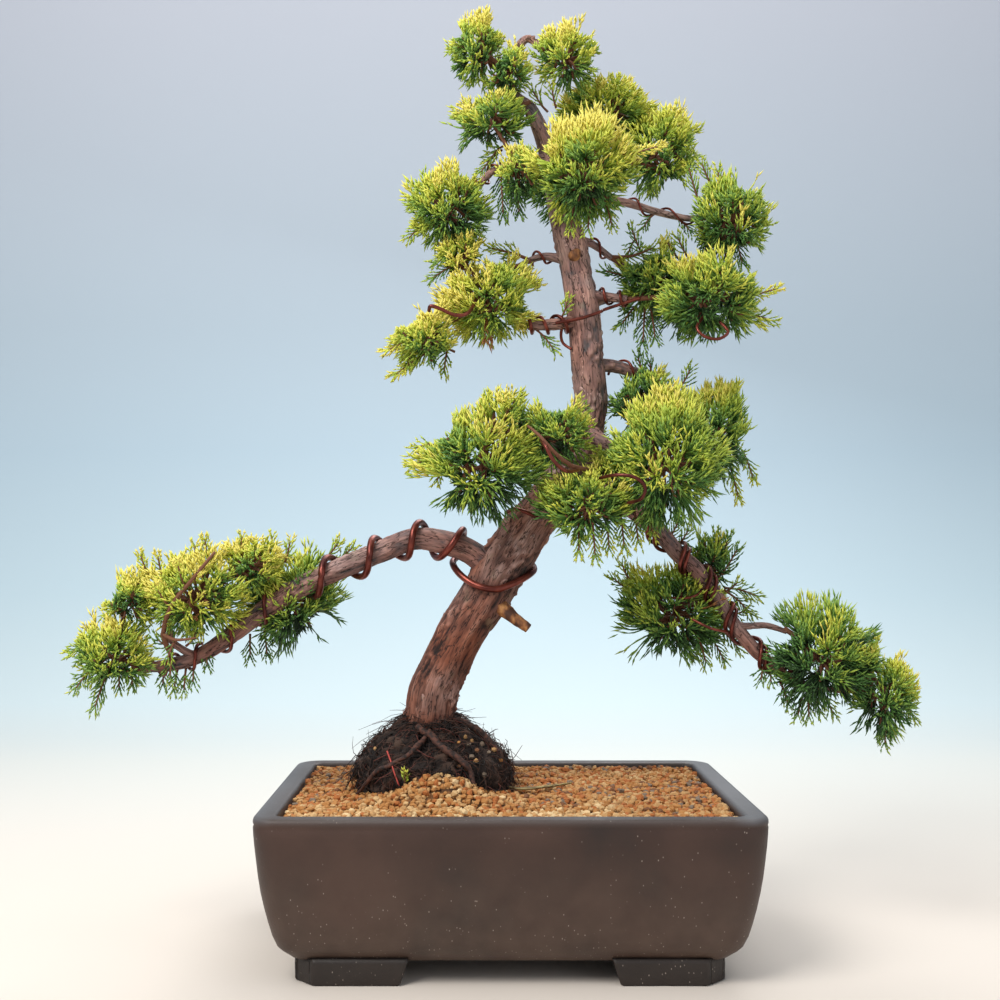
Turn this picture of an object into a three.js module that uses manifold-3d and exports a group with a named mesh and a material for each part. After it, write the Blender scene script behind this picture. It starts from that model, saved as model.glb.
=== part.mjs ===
// A wired golden juniper bonsai, leaning out of a low rectangular clay pot.
// Millimetres, +Z up. Everything is placed about the middle of the pot on the ground, -Y faces the viewer,
// and the whole is moved at the end so that the middle of its footprint is the origin.
import * as THREE from "three";
import Module from "manifold-3d";

const wasm = await Module();
wasm.setup();

const CLEAR = 0.3; // the gap kept between neighbouring bodies
const bodies = new Map(); // node name to solid

// Vectors as plain lists

const add = (a, b) => a.map((v, i) => v + b[i]);
const sub = (a, b) => a.map((v, i) => v - b[i]);
const scale = (a, s) => a.map((v) => v * s);
const times = (a, b) => a.map((v, i) => v * b[i]);
const over = (a, b) => a.map((v, i) => v / b[i]);
const dot = (a, b) => a[0] * b[0] + a[1] * b[1] + a[2] * b[2];
const size = (a) => Math.hypot(...a);
const unit = (a) => scale(a, 1 / size(a));
const mix = (a, b, t) => a.map((v, i) => v + (b[i] - v) * t);
const cross = (a, b) => [
  a[1] * b[2] - a[2] * b[1],
  a[2] * b[0] - a[0] * b[2],
  a[0] * b[1] - a[1] * b[0],
];

// A seeded source of numbers from 0 to 1.
function numbers(seed) {
  let state = seed;
  return () => {
    state = (state + 0x6d2b79f5) | 0;
    let t = Math.imul(state ^ (state >>> 15), state | 1);
    t = (t + Math.imul(t ^ (t >>> 7), t | 61)) ^ t;
    return ((t ^ (t >>> 14)) >>> 0) / 4294967296;
  };
}

// Solids from points and triangles

function closed(points, triangles) {
  const mesh = (order) =>
    new wasm.Mesh({
      numProp: 3,
      vertProperties: new Float32Array(points.flat()),
      triVerts: new Uint32Array(order.flat()),
    });
  const made = new wasm.Manifold(mesh(triangles));
  if (made.volume() > 0) return made;
  return new wasm.Manifold(mesh(triangles.map(([a, b, c]) => [a, c, b])));
}

// A body skinned over rings of equally many points, closed by a fan at either end.
function skinned(rings) {
  const around = rings[0].length;
  const points = rings.flat();
  const triangles = [];
  for (let r = 0; r + 1 < rings.length; r++)
    for (let i = 0; i < around; i++) {
      const a = r * around + i;
      const b = r * around + ((i + 1) % around);
      triangles.push([a, b, b + around], [a, b + around, a + around]);
    }
  const last = (rings.length - 1) * around;
  const middle = (ring) => scale(ring.reduce(add), 1 / around);
  points.push(middle(rings[0]), middle(rings[rings.length - 1]));
  for (let i = 0; i < around; i++) {
    const next = (i + 1) % around;
    triangles.push([next, i, points.length - 2]);
    triangles.push([last + i, last + next, points.length - 1]);
  }
  return closed(points, triangles);
}

const largest = (solid) =>
  solid.decompose().reduce((a, b) => (b.volume() > a.volume() ? b : a));
const without = (solid, cutter) => largest(solid.subtract(cutter));

// Limbs: control points are [x, y, z, radius], with a smooth line through them

function along(line, t) {
  const place = Math.min(Math.max(t, 0), 1) * (line.length - 1);
  const i = Math.min(Math.floor(place), line.length - 2);
  const u = place - i;
  const p = [line[Math.max(i - 1, 0)], line[i], line[i + 1], line[Math.min(i + 2, line.length - 1)]];
  return p[1].map((_, k) => {
    const [a, b, c, d] = p.map((q) => q[k]);
    return b + 0.5 * u * (c - a + u * (2 * a - 5 * b + 4 * c - d + u * (3 * (b - c) + d - a)));
  });
}

// Places along a limb, each with its radius and two directions square to it that turn as little as they can.
function stations(line, count, from = 0, to = 1) {
  let side = [0, -1, 0];
  return Array.from({ length: count + 1 }, (_, i) => {
    const t = from + ((to - from) * i) / count;
    const [x, y, z, radius] = along(line, t);
    const before = along(line, t - 0.01).slice(0, 3);
    const after = along(line, t + 0.01).slice(0, 3);
    const ahead = unit(sub(after, before));
    side = unit(sub(side, scale(ahead, dot(side, ahead))));
    return { at: [x, y, z], radius, side, across: cross(ahead, side) };
  });
}

function round(station, radius, sides, turn = 0) {
  return Array.from({ length: sides }, (_, i) => {
    const a = (2 * Math.PI * i) / sides + turn;
    const out = add(scale(station.side, Math.cos(a)), scale(station.across, Math.sin(a)));
    return add(station.at, scale(out, radius));
  });
}

function limb(line, sides, count, grown = 0) {
  return skinned(stations(line, count).map((s) => round(s, s.radius + grown, sides)));
}

// The trunk leans right, doubles back above the low boughs and ends in a small hook.
const TRUNK = [
  [-56, 0, 96, 27],
  [-55, 0, 116, 22],
  [-53, 0, 137, 18.4],
  [-51, 0, 152, 16.8],
  [-47, 0, 172, 16.4],
  [-33, 0, 200, 16.2],
  [-16, 0, 227, 16.8],
  [-3, 0, 251, 17.2],
  [12, 0, 274, 15.8],
  [33, 2, 301, 14.1],
  [49, 4, 327, 12.8],
  [56, 4, 355, 11.8],
  [54.5, 3, 385, 11.4],
  [52.5, 2, 411, 11.1],
  [47, 1, 445, 10.7],
  [40, 0, 477, 10.4],
  [33, -1, 505, 8],
  [26, -2, 531, 6],
  [17, -4, 552, 4.8],
  [6, -5, 561, 4.1],
  [-3, -6, 568, 3.7],
  [1, -8, 581, 3.3],
  [7, -9, 593, 2.9],
  [14, -9, 599, 2.5],
  [22, -10, 592, 2],
];
const CUT_STUB = [
  [-10, -6, 226, 6],
  [2, -11, 218, 4.6],
  [14, -14, 209, 3.4],
];

// Boughs start inside the limb they grow from and taper to where their foliage takes over.
const BOUGHS = {
  left_bough: {
    from: "trunk",
    line: [
      [-4, 0, 243, 8.7],
      [-22, -3, 258, 8.3],
      [-38, -6, 265, 8.3],
      [-61, -9, 268, 7.6],
      [-84, -13, 259, 7.2],
      [-110, -17, 248, 7.2],
      [-136, -20, 236, 6.9],
      [-158, -22, 222, 6.2],
      [-177, -24, 207, 5.5],
      [-200, -26, 192, 4.9],
      [-220, -28, 186, 4.2],
      [-237, -30, 184, 2.9],
    ],
  },
  left_upper_twig: {
    from: "left_bough",
    line: [
      [-202, -26, 191, 2.6],
      [-216, -35, 203, 2.2],
      [-214, -38, 221, 2],
    ],
  },
  left_inner_twig: {
    from: "left_bough",
    line: [
      [-133, -19, 238, 2.6],
      [-138, -7, 245, 2.3],
      [-141, 2, 243, 1.9],
    ],
  },
  right_bough: {
    from: "trunk",
    line: [
      [40, 2, 310, 7.4],
      [57, 14, 307, 6.8],
      [77, 14, 295, 6.5],
      [100, 8, 276, 6.1],
      [116, 2, 257, 5.7],
      [127, -2, 247, 5.3],
      [140, -5, 229, 4.7],
      [148, -8, 215, 4.6],
      [163, -12, 195, 4.4],
      [177, -14, 183, 3.6],
      [192, -15, 173, 3],
      [209, -16, 170, 2.5],
      [223, -17, 168, 2],
    ],
  },
  right_inner_twig: {
    from: "right_bough",
    line: [
      [132, -3, 241, 2.7],
      [127, 4, 228, 2.3],
      [119, 8, 223, 1.8],
    ],
  },
  right_outer_twig: {
    from: "right_bough",
    line: [
      [152, -9, 210, 2.4],
      [170, -15, 211, 2.1],
      [183, -18, 207, 1.6],
    ],
  },
  front_left_bough: {
    from: "trunk",
    line: [
      [51, 4, 325, 6],
      [44, -18, 318, 4.9],
      [31, -36, 323, 4.1],
      [17, -47, 329, 3.2],
    ],
  },
  front_right_bough: {
    from: "trunk",
    line: [
      [55, 4, 341, 5.4],
      [63, -20, 331, 4.3],
      [75, -38, 323, 3.2],
    ],
  },
  back_low_bough: {
    from: "trunk",
    line: [
      [52, 4, 337, 6],
      [51, 24, 335, 4.8],
      [47, 46, 334, 3.5],
    ],
  },
  right_elbow_bough: {
    from: "trunk",
    line: [
      [54, 3, 383, 5.4],
      [71, 8, 385, 4.3],
      [92, 14, 379, 3.7],
      [111, 20, 369, 3],
      [129, 24, 358, 2.3],
    ],
  },
  mid_left_bough: {
    from: "trunk",
    line: [
      [51, 2, 414, 4.7],
      [31, -8, 410, 3.7],
      [14, -11, 409, 3.2],
    ],
  },
  mid_left_high_bough: {
    from: "trunk",
    line: [
      [44, 1, 454, 3.7],
      [26, 4, 458, 2.7],
      [15, 4, 455, 2.3],
    ],
  },
  mid_right_bough: {
    from: "trunk",
    line: [
      [49, 1, 433, 4],
      [66, -2, 430, 3.1],
      [80, -6, 427, 2.7],
    ],
  },
  mid_right_high_bough: {
    from: "trunk",
    line: [
      [41, 0, 469, 3.3],
      [56, 4, 467, 2.6],
      [71, 8, 458, 2.2],
    ],
  },
  back_mid_bough: {
    from: "trunk",
    line: [
      [49, 2, 420, 4.4],
      [65, 22, 432, 3.4],
      [91, 36, 438, 2.8],
    ],
  },
  upper_left_bough: {
    from: "trunk",
    line: [
      [29, -2, 522, 4],
      [10, -6, 517, 3.1],
      [-9, -10, 511, 2.6],
      [-19, -10, 501, 2.2],
      [-27, -11, 494, 1.8],
    ],
  },
  right_shoulder_bough: {
    from: "trunk",
    line: [
      [37, 0, 498, 4],
      [58, 14, 501, 3],
      [83, 16, 497, 2.7],
      [101, 14, 491, 2.4],
      [124, 10, 485, 2.2],
      [139, 8, 486, 1.8],
    ],
  },
};

// Foliage masses. A mass fills its lobes, [middle, reach]; its stem runs from a limb into the first lobe.
// A dense mass has a core that its sprays stand out of; an open one has only twigs.
const FOLIAGE = {
  left_tip: {
    root: [-238, -30, 184],
    lobes: [
      [[-254, -32, 194], [29, 26, 31]],
      [[-243, -36, 230], [21, 18, 22]],
    ],
    sprays: 10,
  },
  left_upper: {
    root: [-214, -38, 222],
    lobes: [
      [[-200, -36, 233], [38, 30, 34]],
      [[-166, -26, 251], [25, 24, 22]],
    ],
    sprays: 12,
    dense: true,
  },
  left_inner: {
    root: [-141, 3, 242],
    lobes: [[[-143, 0, 228], [38, 34, 37]]],
    sprays: 10,
  },
  right_inner: {
    root: [118, 9, 223],
    lobes: [[[113, 14, 219], [44, 34, 38]]],
    sprays: 11,
    dense: true,
  },
  right_upper: {
    root: [135, 3, 241],
    lobes: [[[139, 18, 253], [18, 18, 28]]],
    sprays: 6,
  },
  right_outer: {
    root: [184, -18, 207],
    lobes: [[[205, -20, 192], [37, 36, 41]]],
    sprays: 10,
    dense: true,
  },
  right_tip: {
    root: [224, -17, 168],
    lobes: [
      [[246, -18, 167], [25, 28, 34]],
      [[232, -20, 188], [21, 20, 20]],
    ],
    sprays: 9,
  },
  front_left: {
    root: [16, -48, 329],
    lobes: [
      [[-20, -58, 316], [44, 36, 41]],
      [[33, -52, 336], [25, 24, 26]],
      [[-4, -58, 341], [21, 22, 25]],
    ],
    sprays: 9,
    dense: true,
  },
  front_right: {
    root: [76, -39, 322],
    lobes: [[[98, -52, 318], [38, 38, 50]]],
    sprays: 12,
    dense: true,
  },
  centre_low: {
    root: [34, -13, 298],
    lobes: [
      [[48, -55, 290], [32, 28, 26]],
      [[67, -42, 313], [17, 18, 18]],
    ],
    sprays: 8,
    dense: true,
  },
  back_low: {
    root: [47, 47, 334],
    lobes: [[[40, 72, 334], [44, 36, 36]]],
    sprays: 8,
    dense: true,
  },
  elbow_near: {
    root: [88, 13, 370],
    lobes: [[[92, 6, 361], [26, 24, 29]]],
    sprays: 8,
  },
  elbow_far: {
    root: [130, 24, 357],
    lobes: [[[144, 24, 341], [25, 32, 45]]],
    sprays: 9,
    dense: true,
  },
  mid_left: {
    root: [13, -11, 409],
    lobes: [
      [[-12, -8, 427], [38, 36, 33]],
      [[-54, -25, 398], [26, 24, 26]],
      [[-30, -13, 454], [21, 20, 20]],
    ],
    sprays: 8,
    dense: true,
  },
  mid_right: {
    root: [81, -6, 427],
    lobes: [
      [[134, -20, 428], [41, 36, 34]],
      [[98, 6, 445], [27, 32, 30]],
    ],
    sprays: 7,
    dense: true,
  },
  back_mid: {
    root: [92, 36, 438],
    lobes: [[[130, 60, 440], [34, 30, 30]]],
    sprays: 7,
    dense: true,
  },
  upper_left: {
    root: [-28, -11, 493],
    lobes: [[[-39, -12, 487], [31, 30, 33]]],
    sprays: 10,
    dense: true,
  },
  right_shoulder: {
    root: [140, 8, 486],
    lobes: [[[152, 4, 484], [29, 30, 37]]],
    sprays: 10,
    dense: true,
  },
  upper_front: {
    root: [34, -10, 503],
    lobes: [[[48, -42, 503], [37, 34, 38]]],
    sprays: 10,
    dense: true,
  },
  upper_right: {
    root: [41, 7, 505],
    lobes: [[[106, 22, 535], [28, 32, 36]]],
    sprays: 10,
    dense: true,
  },
  upper_top: {
    root: [30, 4, 535],
    lobes: [[[68, 26, 564], [37, 32, 27]]],
    sprays: 9,
    dense: true,
  },
  back_upper: {
    root: [34, 8, 515],
    lobes: [[[46, 60, 528], [36, 32, 38]]],
    sprays: 7,
    dense: true,
  },
  shoulder_left: {
    root: [12, -9, 556],
    lobes: [
      [[-11, -16, 543], [31, 24, 21]],
      [[9, -30, 506], [18, 18, 24]],
    ],
    sprays: 7,
  },
  apex_left: {
    root: [-3, -8, 577],
    lobes: [
      [[-19, -14, 590], [22, 21, 28]],
      [[0, -16, 576], [19, 17, 22]],
    ],
    sprays: 9,
  },
  apex_right: {
    root: [24, -10, 591],
    lobes: [[[40, -6, 589], [25, 22, 26]]],
    sprays: 9,
  },
};

// Copper wire wound on the limbs: [limb, from, to, turns, thickness, first angle]. Turns below 0 wind the
// other way.
const WIRES = {
  left_bough_wire: ["left_bough", 0.129, 0.549, -4, 4.6, Math.PI],
  left_tip_wire: ["left_bough", 0.585, 0.785, -2, 2.6, Math.PI],
  right_bough_wire: ["right_bough", 0.12, 0.8, 6, 3, 0],
  right_bough_second_wire: ["right_bough", 0.155, 0.778, 5.5, 2.6, 0.75],
  right_elbow_wire: ["right_elbow_bough", 0.24, 0.95, 3, 1.8, 2],
  upper_left_wire: ["upper_left_bough", 0.2, 0.95, 3, 1.6, 0],
  right_shoulder_wire: ["right_shoulder_bough", 0.25, 0.95, 3, 1.6, 0],
};
// The loop that anchors the left bough's wire hangs round the front of the trunk to its right side.
const TRUNK_LOOP = {
  thickness: 4.6,
  steps: 14,
  points: [
    [-6, 19.9, 253],
    [4.7, 19.9, 255.4],
    [15.7, 12.9, 251.9],
    [18.2, 0.4, 247.4],
    [12, -10.1, 242.6],
    [2.9, -16.5, 238],
    [-7, -19.8, 235],
    [-17.3, -18.9, 236.4],
    [-25.7, -14.8, 240.3],
    [-32.5, -8.5, 246],
    [-36, 0, 251.5],
    [-35, 7, 254.5],
    [-31.4, 9.9, 258.2],
    [-30.6, 8, 262.1],
  ],
};
const STEPS_A_TURN = 8;
const STEM_SUNK = 3.5; // how far a stem starts inside its limb, before it is cut clear of it

// The pot

const POT = {
  width: 307,
  depth: 220,
  cornerRadius: 17,
  innerCornerRadius: 6,
  cornerSteps: 3,
  outside: [
    [30, 12.5],
    [24, 13.5],
    [18.5, 17.5],
    [13, 23],
    [8, 38],
    [4.2, 56],
    [1.5, 77],
    [0.2, 91],
    [0, 101],
    [1.4, 102.5],
  ],
  inside: [
    [13, 102.5],
    [14.5, 99],
    [17, 60],
    [24, 32],
    [34, 22],
  ],
};
const FEET = {
  top: 24,
  inner: 58,
  innerFoot: 66,
  outer: 130.5,
  front: 93,
  back: 50,
};

// A rounded rectangle, set in by some millimetres from the rim's outline.
function potRing(inset, z, corner) {
  const ring = [];
  const halfWidth = POT.width / 2 - inset;
  const halfDepth = POT.depth / 2 - inset;
  const corners = [
    [1, 1],
    [-1, 1],
    [-1, -1],
    [1, -1],
  ];
  corners.forEach(([sx, sy], quarter) => {
    for (let i = 0; i <= POT.cornerSteps; i++) {
      const a = (Math.PI / 2) * (quarter + i / POT.cornerSteps);
      const x = sx * (halfWidth - corner) + corner * Math.cos(a);
      const y = sy * (halfDepth - corner) + corner * Math.sin(a);
      ring.push([x, y, z]);
    }
  });
  return ring;
}

const outerRing = (grown) => ([inset, z]) => {
  const lowered = z < 20 ? z - grown : z;
  return potRing(inset - grown, lowered, Math.max(POT.cornerRadius - inset * 0.35, 8) + grown);
};
const innerRing = ([inset, z]) => potRing(inset, z, POT.innerCornerRadius);

function pot() {
  return skinned([...POT.outside.map(outerRing(0)), ...POT.inside.map(innerRing)]);
}

function foot(sx, sy) {
  const ring = (inner, z) => [
    [sx * inner, sy * FEET.back, z],
    [sx * FEET.outer, sy * FEET.back, z],
    [sx * FEET.outer, sy * (FEET.front - 12), z],
    [sx * (FEET.outer - 12), sy * FEET.front, z],
    [sx * inner, sy * FEET.front, z],
  ];
  const block = skinned([ring(FEET.innerFoot, 0), ring(FEET.inner, FEET.top)]);
  return without(block, skinned(POT.outside.map(outerRing(CLEAR))));
}

// Soil, root ball and surface roots

const BALL = {
  middle: [-49, 0],
  reach: [52, 45],
  sides: 12,
  levels: [
    [84, 0.84],
    [100, 1.02],
    [112, 1.03],
    [122, 0.97],
    [131, 0.85],
    [138, 0.68],
    [145, 0.47],
    [151, 0.36],
  ],
};
const SURFACE_ROOTS = [
  [
    [-58, -20, 145, 4],
    [-42, -36, 134, 4],
    [-26, -43, 122, 3.2],
    [-20, -47, 104, 2.2],
  ],
  [
    [-50, -20, 143, 3.4],
    [-64, -38, 130, 3],
    [-85, -37, 117, 2.6],
    [-97, -28, 103, 1.8],
  ],
  [
    [-37, -4, 149, 5],
    [-19, -6, 141, 4.4],
    [-5, -10, 126, 3.4],
    [0, -14, 104, 2.2],
  ],
  [
    [-50, 18, 144, 4],
    [-60, 41, 124, 3.4],
    [-68, 46, 104, 2.2],
  ],
];

// The soil lies in a heap round the root ball, with low lumps all over.
const LUMPS = {
  apart: 28,
  height: 1.4,
  columns: 5,
  rows: 4,
};

function soilHeight(x, y) {
  const heap = (cx, cy, rx, ry, height) => {
    const away = ((x - cx) / rx) ** 2 + ((y - cy) / ry) ** 2;
    return height * Math.exp(-away);
  };
  const lump = (v) => 0.5 * LUMPS.height * Math.cos((2 * Math.PI * v) / LUMPS.apart);
  return 99.8 + 0.005 * y + heap(-44, -44, 30, 24, 18) + heap(-45, 0, 85, 75, 3) + lump(x) + lump(y);
}

function rootBall(grown) {
  const noise = numbers(11);
  const bumps = Array.from({ length: BALL.sides }, () => 0.92 + 0.16 * noise());
  const rings = BALL.levels.map(([z, share], level) =>
    bumps.map((bump, i) => {
      const a = (2 * Math.PI * i) / BALL.sides + 0.2 * (level % 2);
      const wobble = share * bump * (0.97 + 0.06 * noise());
      const x = BALL.middle[0] + (BALL.reach[0] * wobble + grown) * Math.cos(a);
      const y = BALL.middle[1] + (BALL.reach[1] * wobble + grown) * Math.sin(a);
      return [x, y, z + (level === 0 ? -grown : level * 0.5 * noise() + grown)];
    }),
  );
  return skinned(rings);
}

function withRoots(ball, grown) {
  return SURFACE_ROOTS.reduce((solid, line) => solid.add(limb(line, 4, 3, grown)), ball);
}

// The lumpy top, with a point on each lump and one in each dip, closed by a point far below.
function lumpyGround() {
  const { apart, columns, rows } = LUMPS;
  const points = [];
  const triangles = [];
  const place = (x, y) => points.push([x, y, soilHeight(x, y)]) - 1;
  const lumps = [];
  for (let j = -rows; j <= rows; j++) {
    lumps.push([]);
    for (let i = -columns; i <= columns; i++) lumps[j + rows].push(place(i * apart, j * apart));
  }
  for (let j = 0; j < 2 * rows; j++) {
    for (let i = 0; i < 2 * columns; i++) {
      const dip = place((i - columns + 0.5) * apart, (j - rows + 0.5) * apart);
      const round = [lumps[j][i], lumps[j][i + 1], lumps[j + 1][i + 1], lumps[j + 1][i]];
      round.forEach((corner, k) => triangles.push([corner, round[(k + 1) % 4], dip]));
    }
  }
  const below = points.push([0, 0, -2000]) - 1;
  const last = (list) => list[list.length - 1];
  const edge = [
    ...lumps[0],
    ...lumps.slice(1).map(last),
    ...last(lumps).slice(0, -1).reverse(),
    ...lumps.slice(1, -1).map((row) => row[0]).reverse(),
  ];
  edge.forEach((corner, k) => triangles.push([edge[(k + 1) % edge.length], corner, below]));
  return closed(points, triangles);
}

function soil() {
  const wall = POT.inside.slice(1).map(([inset, z]) => [inset + CLEAR, z]);
  const top = [wall[0][0], POT.inside[0][1] + 40];
  const inside = skinned([top, ...wall].reverse().map(innerRing));
  return without(lumpyGround().intersect(inside), withRoots(rootBall(CLEAR), CLEAR));
}

// A wire's line: a coil round part of a limb, standing clear of it.
function coil([name, from, to, turns, thickness, first]) {
  const line = name === "trunk" ? TRUNK : BOUGHS[name].line;
  const count = Math.round(Math.abs(turns) * STEPS_A_TURN);
  const room = (thickness / 2 + CLEAR + 0.2) / Math.cos(Math.PI / STEPS_A_TURN);
  return stations(line, count, from, to).map((s, i) => {
    const a = first + (Math.sign(turns) * 2 * Math.PI * i) / STEPS_A_TURN;
    const away = (s.radius + 0.2) / Math.cos(Math.PI / STEPS_A_TURN) + room;
    const out = add(scale(s.side, Math.cos(a)), scale(s.across, Math.sin(a)));
    return [...add(s.at, scale(out, away)), thickness / 2];
  });
}

function hangingLoop({ thickness, steps, points }) {
  return Array.from({ length: steps + 1 }, (_, i) => [...along(points, i / steps), thickness / 2]);
}

// A coil's rings start where each fits the one before it best, so the skin doesn't twist.
function untwisted(rings) {
  const sides = rings[0].length;
  for (let r = 1; r < rings.length; r++) {
    const turned = (turn) => rings[r].map((_, i) => rings[r][(i + turn) % sides]);
    const gap = (turn) => turned(turn).reduce((sum, p, i) => sum + size(sub(p, rings[r - 1][i])), 0);
    let best = 0;
    for (let turn = 1; turn < sides; turn++) if (gap(turn) < gap(best)) best = turn;
    rings[r] = turned(best);
  }
  return rings;
}

function wire(path, sides, grown = 0) {
  const rings = path.map((p, i) => {
    const before = path[Math.max(i - 1, 0)].slice(0, 3);
    const after = path[Math.min(i + 1, path.length - 1)].slice(0, 3);
    const ahead = unit(sub(after, before));
    const steady = Math.abs(ahead[2]) > 0.9 ? [1, 0, 0] : [0, 0, 1];
    const side = unit(sub(steady, scale(ahead, dot(steady, ahead))));
    const station = { at: p.slice(0, 3), side, across: cross(ahead, side) };
    return round(station, p[3] + grown, sides);
  });
  return skinned(untwisted(rings));
}

// Foliage

const lobesOf = (name) => FOLIAGE[name].lobes;
const depthIn = (point, [middle, reach]) => size(over(sub(point, middle), reach));
const nearestLobe = (name, point) => Math.min(...lobesOf(name).map((lobe) => depthIn(point, lobe)));

// A mass keeps to its lobes and, where lobes of two masses meet, to its own side.
function ownSpace(name, point) {
  const own = nearestLobe(name, point);
  if (own > 1.04) return false;
  return Object.keys(FOLIAGE).every((other) => other === name || nearestLobe(other, point) > own + 0.04);
}

// A spray is a toothed blade, by itself or on a three-sided twig that runs from its root to the blade.
const TEETH = [
  [0.42, 0.95],
  [0.92, 0.5],
  [1, -0.2],
  [0.55, -0.95],
];
const NOTCHES = [
  [0.6, 0.38],
  [0.76, 0.1],
  [0.66, -0.38],
];

function blade(base, tip, side, width, root) {
  const ahead = unit(sub(tip, base));
  const across = unit(sub(side, scale(ahead, dot(side, ahead))));
  const up = cross(ahead, across);
  const reach = size(sub(tip, base));
  const flat = (u, v, lift = 0) =>
    add(add(base, scale(ahead, u * reach)), add(scale(across, v * width), scale(up, lift)));
  const outline = [flat(0, 1.5 / width)];
  TEETH.forEach(([u, v], i) => {
    outline.push(flat(u, v));
    if (i < NOTCHES.length) outline.push(flat(...NOTCHES[i]));
  });
  outline.push(flat(0, -1.5 / width));
  const n = outline.length;
  const top = n;
  const bottom = n + 1;
  const points = [...outline, flat(0.42, 0, 2.2), flat(0.42, 0, -1.4)];
  const triangles = [[0, n - 1, bottom]];
  for (let i = 0; i + 1 < n; i++) triangles.push([i, i + 1, top], [i + 1, i, bottom]);
  if (!root) {
    triangles.push([n - 1, 0, top]);
    return { points, triangles };
  }
  const ridge = n + 2;
  points.push(flat(0, 0, 2));
  triangles.push([n - 1, ridge, top], [ridge, 0, top]);
  const here = [n - 1, 0, ridge];
  here.forEach((corner) => points.push(add(root, scale(sub(points[corner], base), 0.4))));
  for (let i = 0; i < 3; i++) {
    const j = (i + 1) % 3;
    triangles.push([here[i], here[j], ridge + 1 + j], [here[i], ridge + 1 + j, ridge + 1 + i]);
  }
  triangles.push([ridge + 1, ridge + 2, ridge + 3]);
  return { points, triangles };
}

// The dense heart of a mass, a rough lump that the sprays stand out of.
function core([middle, reach], random) {
  const levels = [-0.72, 0, 0.72];
  const around = 5;
  const rings = levels.map((h, level) =>
    Array.from({ length: around }, (_, i) => {
      const a = (2 * Math.PI * (i + 0.5 * level)) / around;
      const share = 0.58 + 0.2 * random();
      const r = share * Math.sqrt(1 - h * h);
      return add(middle, times(reach, [r * Math.cos(a), r * Math.sin(a), share * h]));
    }),
  );
  return skinned(rings);
}

const GOLDEN_ANGLE = Math.PI * (3 - Math.sqrt(5));

// Where a lobe's sprays point: spread evenly over it, a little unsteadily.
function directions(count, random) {
  return Array.from({ length: count }, (_, i) => {
    const h = 1 - (2 * (i + 0.5)) / count + 0.1 * (random() - 0.5);
    const a = i * GOLDEN_ANGLE + 0.5 * random();
    const r = Math.sqrt(Math.max(0, 1 - h * h));
    return [r * Math.cos(a), r * Math.sin(a), h];
  });
}

function foliage(name, seed, obstacles) {
  const { root, lobes, sprays, dense } = FOLIAGE[name];
  const random = numbers(seed);
  const first = lobes[0];
  const past = mix(root, first[0], 1.3);
  const sunk = add(root, scale(unit(sub(root, first[0])), STEM_SUNK));
  const stemLine = [
    [...sunk, 1.9],
    [...mix(root, first[0], 0.55), 1.7],
    [...add(first[0], [0, 0, -0.12 * first[1][2]]), 1.5],
    [...past, 1],
  ];
  let solid = limb(stemLine, 4, 4);
  lobes.slice(1).forEach((lobe) => {
    const link = [
      [...mix(first[0], lobe[0], 0.12), 1.5],
      [...mix(first[0], lobe[0], 0.5), 1.4],
      [...lobe[0], 1],
    ];
    solid = solid.add(limb(link, 4, 2));
  });
  if (dense) lobes.forEach((lobe) => (solid = solid.add(core(lobe, random))));
  obstacles.forEach((o) => (solid = without(solid, o)));
  lobes.forEach((lobe, index) => {
    const [middle, reach] = lobe;
    directions(index ? Math.ceil(sprays * 0.6) : sprays, random).forEach((way) => {
      const tip = add(middle, times(reach, scale(way, 0.94 + 0.08 * random())));
      const low = add(way, [0, 0, -0.25]);
      const forward = dot(way, unit(sub(past, root)));
      const twigRoot = index
        ? mix(first[0], middle, 0.8 + 0.2 * way[0])
        : along(stemLine, 0.62 + 0.3 * forward).slice(0, 3);
      const base = add(middle, times(reach, scale(unit(low), 0.36 + 0.08 * random())));
      const turn = 0.6 + 0.4 * random();
      const side = add(scale(unit(cross(way, [0.3, 0.2, 1])), Math.cos(turn)), [0, 0, Math.sin(turn)]);
      const width = (0.13 + 0.03 * random()) * (reach[0] + reach[1] + reach[2]);
      const { points, triangles } = blade(base, tip, side, width, dense ? null : twigRoot);
      if (!points.slice(0, 11).every((p) => ownSpace(name, p))) return;
      const grown = closed(points, triangles);
      if (obstacles.some((o) => o.intersect(grown).volume() > 0)) return;
      solid = solid.add(grown);
    });
  });
  return largest(solid);
}

// Building in order: each body is cut clear of the ones it meets

bodies.set("trunk", limb(TRUNK, 10, 32).add(limb(CUT_STUB, 6, 2)));
const grownSolids = [limb(TRUNK, 10, 32, CLEAR).add(limb(CUT_STUB, 6, 2, CLEAR))];
const grownLimbs = { trunk: grownSolids[0] };
const FINE_RINGS = { left_bough: 20, right_bough: 22 };

for (const [name, { from, line }] of Object.entries(BOUGHS)) {
  const count = FINE_RINGS[name] ?? Math.max(4, Math.round((line.length - 1) * 1.6));
  const sides = FINE_RINGS[name] ? 8 : 5;
  bodies.set(name, without(limb(line, sides, count), grownLimbs[from]));
  grownLimbs[name] = limb(line, sides, count, CLEAR);
  grownSolids.push(grownLimbs[name]);
}

const wirePaths = { trunk_loop_wire: hangingLoop(TRUNK_LOOP) };
for (const [name, plan] of Object.entries(WIRES)) wirePaths[name] = coil(plan);
for (const [name, path] of Object.entries(wirePaths)) {
  const sides = path[0][3] > 1.4 ? 4 : 3;
  bodies.set(name, wire(path, sides));
  grownSolids.push(wire(path, sides, CLEAR));
}

Object.keys(FOLIAGE).forEach((name, index) => {
  bodies.set(name, foliage(name, 100 + index, grownSolids));
});

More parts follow.
